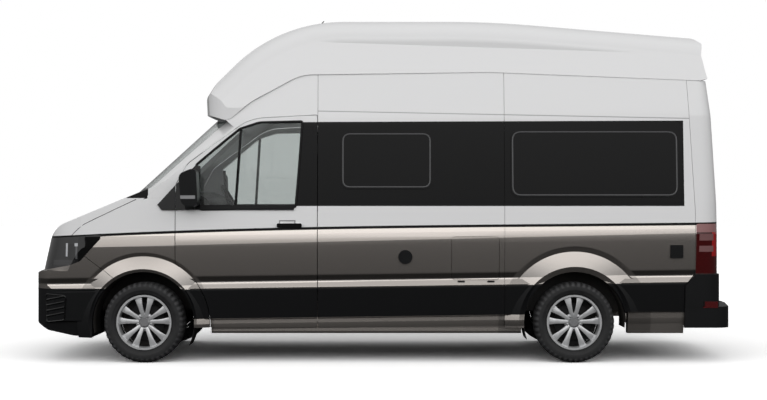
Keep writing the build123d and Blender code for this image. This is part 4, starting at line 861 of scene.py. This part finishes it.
# Cab glazing: tinted safety glass, curved in a furnace and bonded into the doors and the frame.
# The frame round the screen is pressed steel, white like the roof, with a black scuttle below.
GLASS_TINT = (0.60, 0.63, 0.62, 1.0)
SCUTTLE_X = 1.99
SCUTTLE_Z = 1.476
clear_glass, *_ = new_finish(
    "clear_glass", Base_Color=GLASS_TINT, Roughness=0.0, IOR=1.45, Transmission_Weight=1.0)
finish_nodes(clear_glass, "clear_glass", "windscreen", "front_glass_left", "front_glass_right")
cab_paint = body_finish(
    "cab_paint", beige_below=False, cladding=False,
    black_where=lambda x, y, z: x.over(SCUTTLE_X) * (1 - z.over(SCUTTLE_Z)))
finish_nodes(cab_paint, "white_paint", "cab_frame")


# Living-room windows: double acrylic panes, tinted nearly black, each in a grey moulded frame that
# is clamped through the wall. The rear doors' panes are tinted alike.
ACRYLIC_BLACK = (0.0022, 0.0022, 0.0024, 1.0)
ACRYLIC_PALE = (0.0034, 0.0034, 0.0036, 1.0)
dark_acrylic, *_ = speckled(
    "dark_acrylic", ACRYLIC_BLACK, ACRYLIC_PALE, scale=3.0, Roughness=0.04, Specular_IOR_Level=0.2)
finish_nodes(dark_acrylic, "dark_acrylic", "camper_windows", "rear_glass_left", "rear_glass_right")
FRAME_GREY = (0.10, 0.10, 0.103, 1.0)
FRAME_DULL = (0.085, 0.085, 0.088, 1.0)
frame_grey, *_ = speckled("frame_grey", FRAME_GREY, FRAME_DULL, scale=200.0, Roughness=0.35)
WINDOW_ROWS = {
    # front x, rear x, foot z, head z, corner radius
    "mid": (0.358, -0.409, 1.469, 1.949, 0.060),
    "rear": (-1.074, -2.490, 1.401, 1.966, 0.070),
}
WINDOW_WALL = ["side_panel_mid_left", "side_panel_rear_left", "camper_windows"]
RING_R = 0.007
RING_IN = 0.016
RING_OUT = -0.002
for name, (front_x, rear_x, foot_z, head_z, radius) in WINDOW_ROWS.items():
    ring_rows = (
        (front_x - RING_IN, foot_z + RING_IN, radius),
        (rear_x + RING_IN, foot_z + RING_IN, radius),
        (rear_x + RING_IN, head_z - RING_IN, radius),
        (front_x - RING_IN, head_z - RING_IN, radius),
    )
    tube(laid(spread(rounded(ring_rows), longest=0.2), WINDOW_WALL, RING_OUT), RING_R, closed=True)
    ring = finish_piece(f"window_ring_{name}", frame_grey)
    on_both_sides(ring, f"window_ring_{name}", "body", "body")


# Headlamps and tail lamps: moulded plastic lenses, clear in front and red behind, welded to dark
# housings that hold the light strips and bowls. They are screwed into the wings and corner posts.
HEADLAMP_PATCHES = {
    # along the vehicle, height
    "front_light": ((2.664, 2.681), (0.900, 1.012)),
    "upper_light": ((2.574, 2.602), (0.986, 1.012)),
    "bar": ((2.578, 2.594), (0.880, 0.986)),
    "bowl": ((2.602, 2.656), (0.840, 1.004)),
    "lines": ((2.600, 2.800), (0.828, 0.872)),
}
HOUSING_END_X = 2.572
LINES_PER_METRE = 700.0
HOUSING_BLACK = (0.010, 0.010, 0.0105, 1.0)
HOUSING_PALE = (0.016, 0.016, 0.0165, 1.0)
HOUSING_DEEP = (0.0015, 0.0015, 0.0016, 1.0)
LINE_GREY = (0.060, 0.060, 0.062, 1.0)
BAR_GREY = (0.10, 0.10, 0.105, 1.0)
LIGHT_WHITE = (0.55, 0.56, 0.58, 1.0)
headlamp_dark, shader, place = new_finish("headlamp_dark", Roughness=0.05, Coat_Weight=1.0)
x, _, z = place.axes()
lamp = {name: patch(x, z, *sides) for name, sides in HEADLAMP_PATCHES.items()}
ripple = (z * LINES_PER_METRE).sine().over(edge=0.4, soft=0.4)
colour = place.noise(scale=30.0).mix(HOUSING_BLACK, HOUSING_PALE)
colour = lamp["bowl"].highest(1 - x.over(HOUSING_END_X)).mix(colour, HOUSING_DEEP)
colour = (lamp["lines"] * ripple).mix(colour, LINE_GREY)
colour = lamp["bar"].mix(colour, BAR_GREY)
lamp["front_light"].highest(lamp["upper_light"]).mix(colour, LIGHT_WHITE).into(shader, "Base Color")
finish_nodes(headlamp_dark, "headlamp", "headlamps")

LAMP_DEEP = (0.05, 0.002, 0.0025, 1.0)
LAMP_RED = (0.075, 0.003, 0.0035, 1.0)
STRIP_RED = (0.42, 0.010, 0.012, 1.0)
LENS_PALE = (0.24, 0.12, 0.12, 1.0)
HEAD_PALE = (0.32, 0.14, 0.14, 1.0)
STRIP_END_X = -2.775
STRIP_Z = (0.900, 1.150)
LENS_X = (-2.790, -2.660)
UPPER_LENS_Z = (1.035, 1.090)
LOWER_LENS_Z = (0.940, 0.990)
LAMP_HEAD_Z = 1.105
lamp_red, shader, place = new_finish("lamp_red", Roughness=0.08, Coat_Weight=1.0)
x, _, z = place.axes()
colour = place.noise(scale=30.0).mix(LAMP_DEEP, LAMP_RED)
colour = ((1 - x.over(STRIP_END_X)) * z.between(*STRIP_Z)).mix(colour, STRIP_RED)
lenses = patch(x, z, LENS_X, UPPER_LENS_Z).highest(patch(x, z, LENS_X, LOWER_LENS_Z))
colour = lenses.mix(colour, LENS_PALE)
z.over(LAMP_HEAD_Z).mix(colour, HEAD_PALE).into(shader, "Base Color")
finish_nodes(lamp_red, "tail_lamp", "tail_lamps")


# Front apron, side reflectors and wing joints: an air intake with four slanted slats in each corner
# of the lower bumper, moulded in black plastic, red reflectors clipped into the rear bumper's sides,
# and the dark joint along the top of each wing.
APRON = ["front_bumper_lower"]
INTAKE_ROWS = (
    # x, z, corner radius
    (2.850, 0.585, 0.02),
    (2.672, 0.570, 0.03),
    (2.690, 0.365, 0.02),
    (2.840, 0.350, 0.02),
)
INTAKE_R = 0.006
INTAKE_OUT = 0.001
tube(laid(spread(rounded(INTAKE_ROWS), longest=0.05), APRON, INTAKE_OUT), INTAKE_R, closed=True)
intake = finish_piece("intake_edge", gloss_black)
on_both_sides(intake, "intake_edge", "body", "body")
SLATS = 4
SLAT_R = 0.009
SLAT_OUT = 0.002
SLAT_X = 2.838
SLAT_Z = 0.398
SLAT_PITCH = 0.046
SLAT_RUN = 0.030
SLAT_RISE = 0.006
SLAT_POINTS = 6
for number in range(SLATS):
    slat_z = SLAT_Z + SLAT_PITCH * number
    slat_line = [(SLAT_X - SLAT_RUN * step, slat_z + SLAT_RISE * step) for step in range(SLAT_POINTS)]
    tube(laid(slat_line, APRON, SLAT_OUT), SLAT_R)
    slat = finish_piece(f"intake_slat_{number}", gloss_black)
    on_both_sides(slat, f"intake_slat_{number}", "body", "body")

REFLECTOR_RED = (0.10, 0.004, 0.005, 1.0)
REFLECTOR_DEEP = (0.05, 0.002, 0.003, 1.0)
REFLECTOR_X = -2.690
REFLECTOR_PITCH = 0.025
REFLECTOR_POINTS = 6
REFLECTOR_Z = (0.468, 0.522)
REFLECTOR_OUT = -0.002
REFLECTOR_THICK = 0.006
reflector_red, *_ = speckled(
    "reflector_red", REFLECTOR_RED, REFLECTOR_DEEP, scale=300.0, Roughness=0.15, Coat_Weight=1.0)
reflector_line = [
    (REFLECTOR_X - REFLECTOR_PITCH * step, REFLECTOR_Z[0]) for step in range(REFLECTOR_POINTS)]
reflector_up = (0, 0, REFLECTOR_Z[1] - REFLECTOR_Z[0])
strip(laid(reflector_line, ["rear_bumper"], REFLECTOR_OUT), reflector_up, (0, REFLECTOR_THICK, 0))
reflector = finish_piece("side_reflector", reflector_red)
on_both_sides(reflector, "side_reflector", "body", "body")

WING_JOINT = (
    # x, z
    (2.630, 1.078),
    (2.575, 1.130),
    (2.522, 1.172),
    (2.438, 1.214),
    (2.300, 1.280),
    (2.180, 1.337),
    (2.085, 1.382),
)
JOINT_R = 0.0026
tube(laid(WING_JOINT, ["front_wings", "bonnet"]), JOINT_R)
joint_line = finish_piece("wing_joint", seal_rubber)
on_both_sides(joint_line, "wing_joint", "body", "body")


# Rear doors: a blank number plate in a pressed field of the left door and an upright pull handle
# beside the middle joint. Plate of painted aluminium, handle of black plastic, both screwed on.
RAY_START_X = -5.0


def back_x(name, y, z):
    """Place along the vehicle of a solid's rearmost surface."""
    where = nodes[name].ray_cast((RAY_START_X, y, z), (1, 0, 0))[1]
    return where.x


PLATE_WHITE = (0.70, 0.70, 0.70, 1.0)
PLATE_DULL = (0.66, 0.66, 0.66, 1.0)
PLATE_Y = (0.14, 0.66)
PLATE_Z = (0.80, 0.91)
PLATE_CLEAR = 0.0005
PLATE_THICK = 0.004
plate_x = back_x("rear_door_left", sum(PLATE_Y) / 2, PLATE_Z[0]) - PLATE_CLEAR
plate_edge = [(plate_x, y, PLATE_Z[0]) for y in PLATE_Y]
plate_edge += [(plate_x, y, PLATE_Z[1]) for y in reversed(PLATE_Y)]
plate(plate_edge, (-PLATE_THICK, 0, 0))
pick(lambda middle, normal: normal.x < -0.9)
bpy.ops.mesh.inset(thickness=0.006)
bpy.ops.mesh.inset(thickness=0.002, depth=-0.001)
plate_white, *_ = speckled("plate_white", PLATE_WHITE, PLATE_DULL, scale=60.0, Roughness=0.35)
number_plate = finish_piece("blank_plate", plate_white)
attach(number_plate, "rear_door_left")

PULL_ROWS = (
    # from the door's skin, height
    (0.002, 0.98),
    (-0.022, 1.02),
    (-0.022, 1.10),
    (0.002, 1.14),
)
PULL_Y = 0.060
PULL_SKIN_Z = 1.06
PULL_R = 0.010
pull_x = back_x("rear_door_left", PULL_Y, PULL_SKIN_Z)
tube([(pull_x + out, PULL_Y, z) for out, z in PULL_ROWS], PULL_R)
pull = finish_piece("rear_pull", black_plastic)
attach(pull, "rear_door_left")


# Service flap: two hinge barrels along its foot. They are moulded in black plastic and screwed to
# the panel below the flap.
HINGE_X = (-0.655, -0.905)
HINGE_Z = 0.690
HINGE_HALF = 0.030
HINGE_OUT = 0.004
HINGE_R = 0.007
HINGE_WALL = ["side_panel_mid_left", "side_panel_rear_left"]
for number, hinge_x in enumerate(HINGE_X):
    barrel = [(hinge_x + HINGE_HALF * end, HINGE_Z) for end in (-1, 0, 1)]
    tube(laid(barrel, HINGE_WALL, HINGE_OUT), HINGE_R)
    hinge = finish_piece(f"flap_hinge_{number}", black_plastic)
    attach(hinge, "body")


# Roof hatches: tinted acrylic lids, formed in a press and clamped through the roof, and a white
# moulded dome between them that is glued on.
LID_BLACK = (0.012, 0.012, 0.0125, 1.0)
LID_PALE = (0.020, 0.020, 0.021, 1.0)
DOME_X = (-1.10, -0.50)
hatch_finish, shader, place = new_finish("hatch_finish", Roughness=0.15)
dome = place.axes()[0].between(*DOME_X, soft=0.01)
dome.mix(place.noise(scale=20.0).mix(LID_BLACK, LID_PALE), WHITE).into(shader, "Base Color")
finish_nodes(hatch_finish, "roof_plastic", "roof_hatches")


# Cab inside: dashboard, steering wheel and the seats' bases in grained dark plastic. All are moulded
# and screwed to the bulkhead, the column and the floor.
CABIN_BLACK = (0.010, 0.010, 0.0105, 1.0)
CABIN_PALE = (0.016, 0.016, 0.0165, 1.0)
cabin_plastic, shader, grain = speckled(
    "cabin_plastic", CABIN_BLACK, CABIN_PALE, scale=200.0, Roughness=0.6, Specular_IOR_Level=0.3)
grain.bump(distance=0.0004).into(shader, "Normal")
finish_nodes(cabin_plastic, "cabin_plastic", "dashboard", "steering_wheel", "seat_bases")


# Seats: foam cushion, back and head rest in woven cloth, sewn covers pulled over a steel frame.
# The foam swells against its cover, so each part is blown up a little as cloth under pressure.
CLOTH_DARK = (0.020, 0.020, 0.022, 1.0)
CLOTH_PALE = (0.040, 0.040, 0.042, 1.0)
seat_cloth, shader, weave = speckled(
    "seat_cloth", CLOTH_DARK, CLOTH_PALE, scale=900.0, detail=2.0, Roughness=0.85, Specular_IOR_Level=0.2)
weave.bump(distance=0.0008).into(shader, "Normal")
SEAT_PARTS = {
    # middle, size and lean to the rear in degrees
    "cushion": ((0.985, 0.420, 0.950), (0.520, 0.460, 0.130), -6),
    "back": ((0.690, 0.420, 1.310), (0.110, 0.440, 0.560), 9),
    "head_rest": ((0.630, 0.420, 1.725), (0.075, 0.260, 0.170), 9),
}
PAD_EDGE = 0.30
PAD_FACE = 0.014
SWELL_CAP = 0.014
SWELL_FRAMES = 12
SWELL_PRESSURE = 4.0


def swell(piece):
    """Blows a pad up as cloth under pressure, with a limit on how far any point may move."""
    rest = [vertex.co.copy() for vertex in piece.data.vertices]
    cloth = piece.modifiers.new("cover", "CLOTH")
    cloth.settings.use_pressure = True
    cloth.settings.uniform_pressure_force = SWELL_PRESSURE
    cloth.settings.effector_weights.gravity = 0.0
    scene = bpy.context.scene
    for number in range(1, SWELL_FRAMES + 1):
        scene.frame_set(number)
    bpy.ops.object.modifier_apply(modifier=cloth.name)
    scene.frame_set(1)
    for vertex, start in zip(piece.data.vertices, rest):
        moved = vertex.co - start
        if moved.length > SWELL_CAP:
            vertex.co = start + moved.normalized() * SWELL_CAP


for part, (middle, size, lean_back) in SEAT_PARTS.items():
    bpy.ops.object.select_all(action="DESELECT")
    bpy.ops.mesh.primitive_cube_add(size=1, location=middle, scale=size)
    bpy.ops.object.transform_apply(location=False, rotation=False, scale=True)
    bpy.ops.object.mode_set(mode="EDIT")
    bpy.ops.mesh.select_all(action="SELECT")
    bpy.ops.mesh.bevel(offset=min(size) * PAD_EDGE, segments=4)
    bpy.ops.transform.rotate(
        value=math.radians(lean_back), orient_axis="Y", orient_type="GLOBAL", center_override=middle)
    bpy.ops.object.mode_set(mode="OBJECT")
    piece = bpy.context.object
    finer = piece.modifiers.new("finer", "REMESH")
    finer.mode = "VOXEL"
    finer.voxel_size = PAD_FACE
    bpy.ops.object.modifier_apply(modifier=finer.name)
    swell(piece)
    softer = piece.modifiers.new("softer", "SUBSURF")
    softer.levels = 1
    bpy.ops.object.modifier_apply(modifier=softer.name)
    pad = finish_piece(f"seat_{part}", seat_cloth, smooth=180)
    left, right = on_both_sides(pad, f"seat_{part}", "body", "body")
    for piece, node in ((left, "seat_driver"), (right, "seat_passenger")):
        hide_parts(node)


# Studio: a floor that the camera sees as white, a sky that is brightest on the near side and about
# half way up, and the camera square on to the left side.
FLOOR_SIZE = 120.0
FLOOR_SEEN = 1.75
FLOOR_LIT = 0.06


def grey(level):
    return (level, level, level, 1.0)


def seen_straight(wire):
    """1 for what the camera sees, also through glass, and 0 for light on its way to a piece."""
    seen = wire.make("ShaderNodeLightPath", output="Is Camera Ray")
    return seen.highest(Wire(wire.tree, seen.socket.node.outputs["Is Transmission Ray"]))


bpy.ops.object.select_all(action="DESELECT")
bpy.ops.mesh.primitive_plane_add(size=FLOOR_SIZE, location=(0, 0, 0))
floor = bpy.context.object
floor.name = "floor"
floor_finish = bpy.data.materials.new("floor_finish")
floor_finish.use_nodes = True
tree = floor_finish.node_tree
tree.nodes.clear()
wire = Wire(tree)
grey_floor = wire.make("ShaderNodeBsdfDiffuse", None, {"Color": grey(FLOOR_LIT)})
white_floor = wire.make("ShaderNodeBsdfDiffuse", None, {"Color": grey(FLOOR_SEEN)})
blend = wire.make("ShaderNodeMixShader", None, {0: seen_straight(wire), 1: grey_floor, 2: white_floor})
blend.into(tree.nodes.new("ShaderNodeOutputMaterial"), "Surface")
floor.data.materials.append(floor_finish)

SKY_STOPS = (
    # height of the direction, brightness
    (0.00, 0.62),
    (0.10, 0.66),
    (0.20, 1.05),
    (0.32, 2.30),
    (0.43, 2.80),
    (0.58, 1.35),
    (0.80, 1.15),
    (1.00, 1.00),
)
SKY_MIDDLE = 0.41
SKY_SIDE = 0.59
SKY_FAR = 0.28
world = bpy.data.worlds.new("studio_sky")
bpy.context.scene.world = world
world.use_nodes = True
tree = world.node_tree
tree.nodes.clear()
wire = Wire(tree)
_, near, height = wire.make("ShaderNodeTexCoord", output="Generated").axes()
brightness = SKY_STOPS[0][1]
for (low_z, low), (high_z, high) in zip(SKY_STOPS, SKY_STOPS[1:]):
    limits = {"Value": height, "From Min": low_z, "From Max": high_z, "To Min": 0.0, "To Max": high - low}
    brightness = wire.make("ShaderNodeMapRange", None, limits) + brightness
brightness = brightness * (SKY_MIDDLE + near * SKY_SIDE).highest(SKY_FAR)
plain_white = wire.make("ShaderNodeBackground", None, {"Color": grey(1.0), "Strength": 1.0})
sky_light = wire.make("ShaderNodeBackground", None, {"Color": grey(1.0), "Strength": brightness})
sky = wire.make("ShaderNodeMixShader", None, {0: seen_straight(wire), 1: sky_light, 2: plain_white})
sky.into(tree.nodes.new("ShaderNodeOutputWorld"), "Surface")

bpy.context.scene.view_settings.view_transform = "Standard"

IMAGE_WIDTH = 767
FOCAL_PIXELS = 1450.0
SENSOR = 36.0
CAMERA_PLACE = (0.0, 13.22, 1.376)
bpy.ops.object.camera_add(location=CAMERA_PLACE, rotation=(math.radians(90), 0, math.radians(180)))
camera = bpy.context.object
camera.data.sensor_width = SENSOR
camera.data.lens = FOCAL_PIXELS / IMAGE_WIDTH * SENSOR
bpy.context.scene.camera = camera
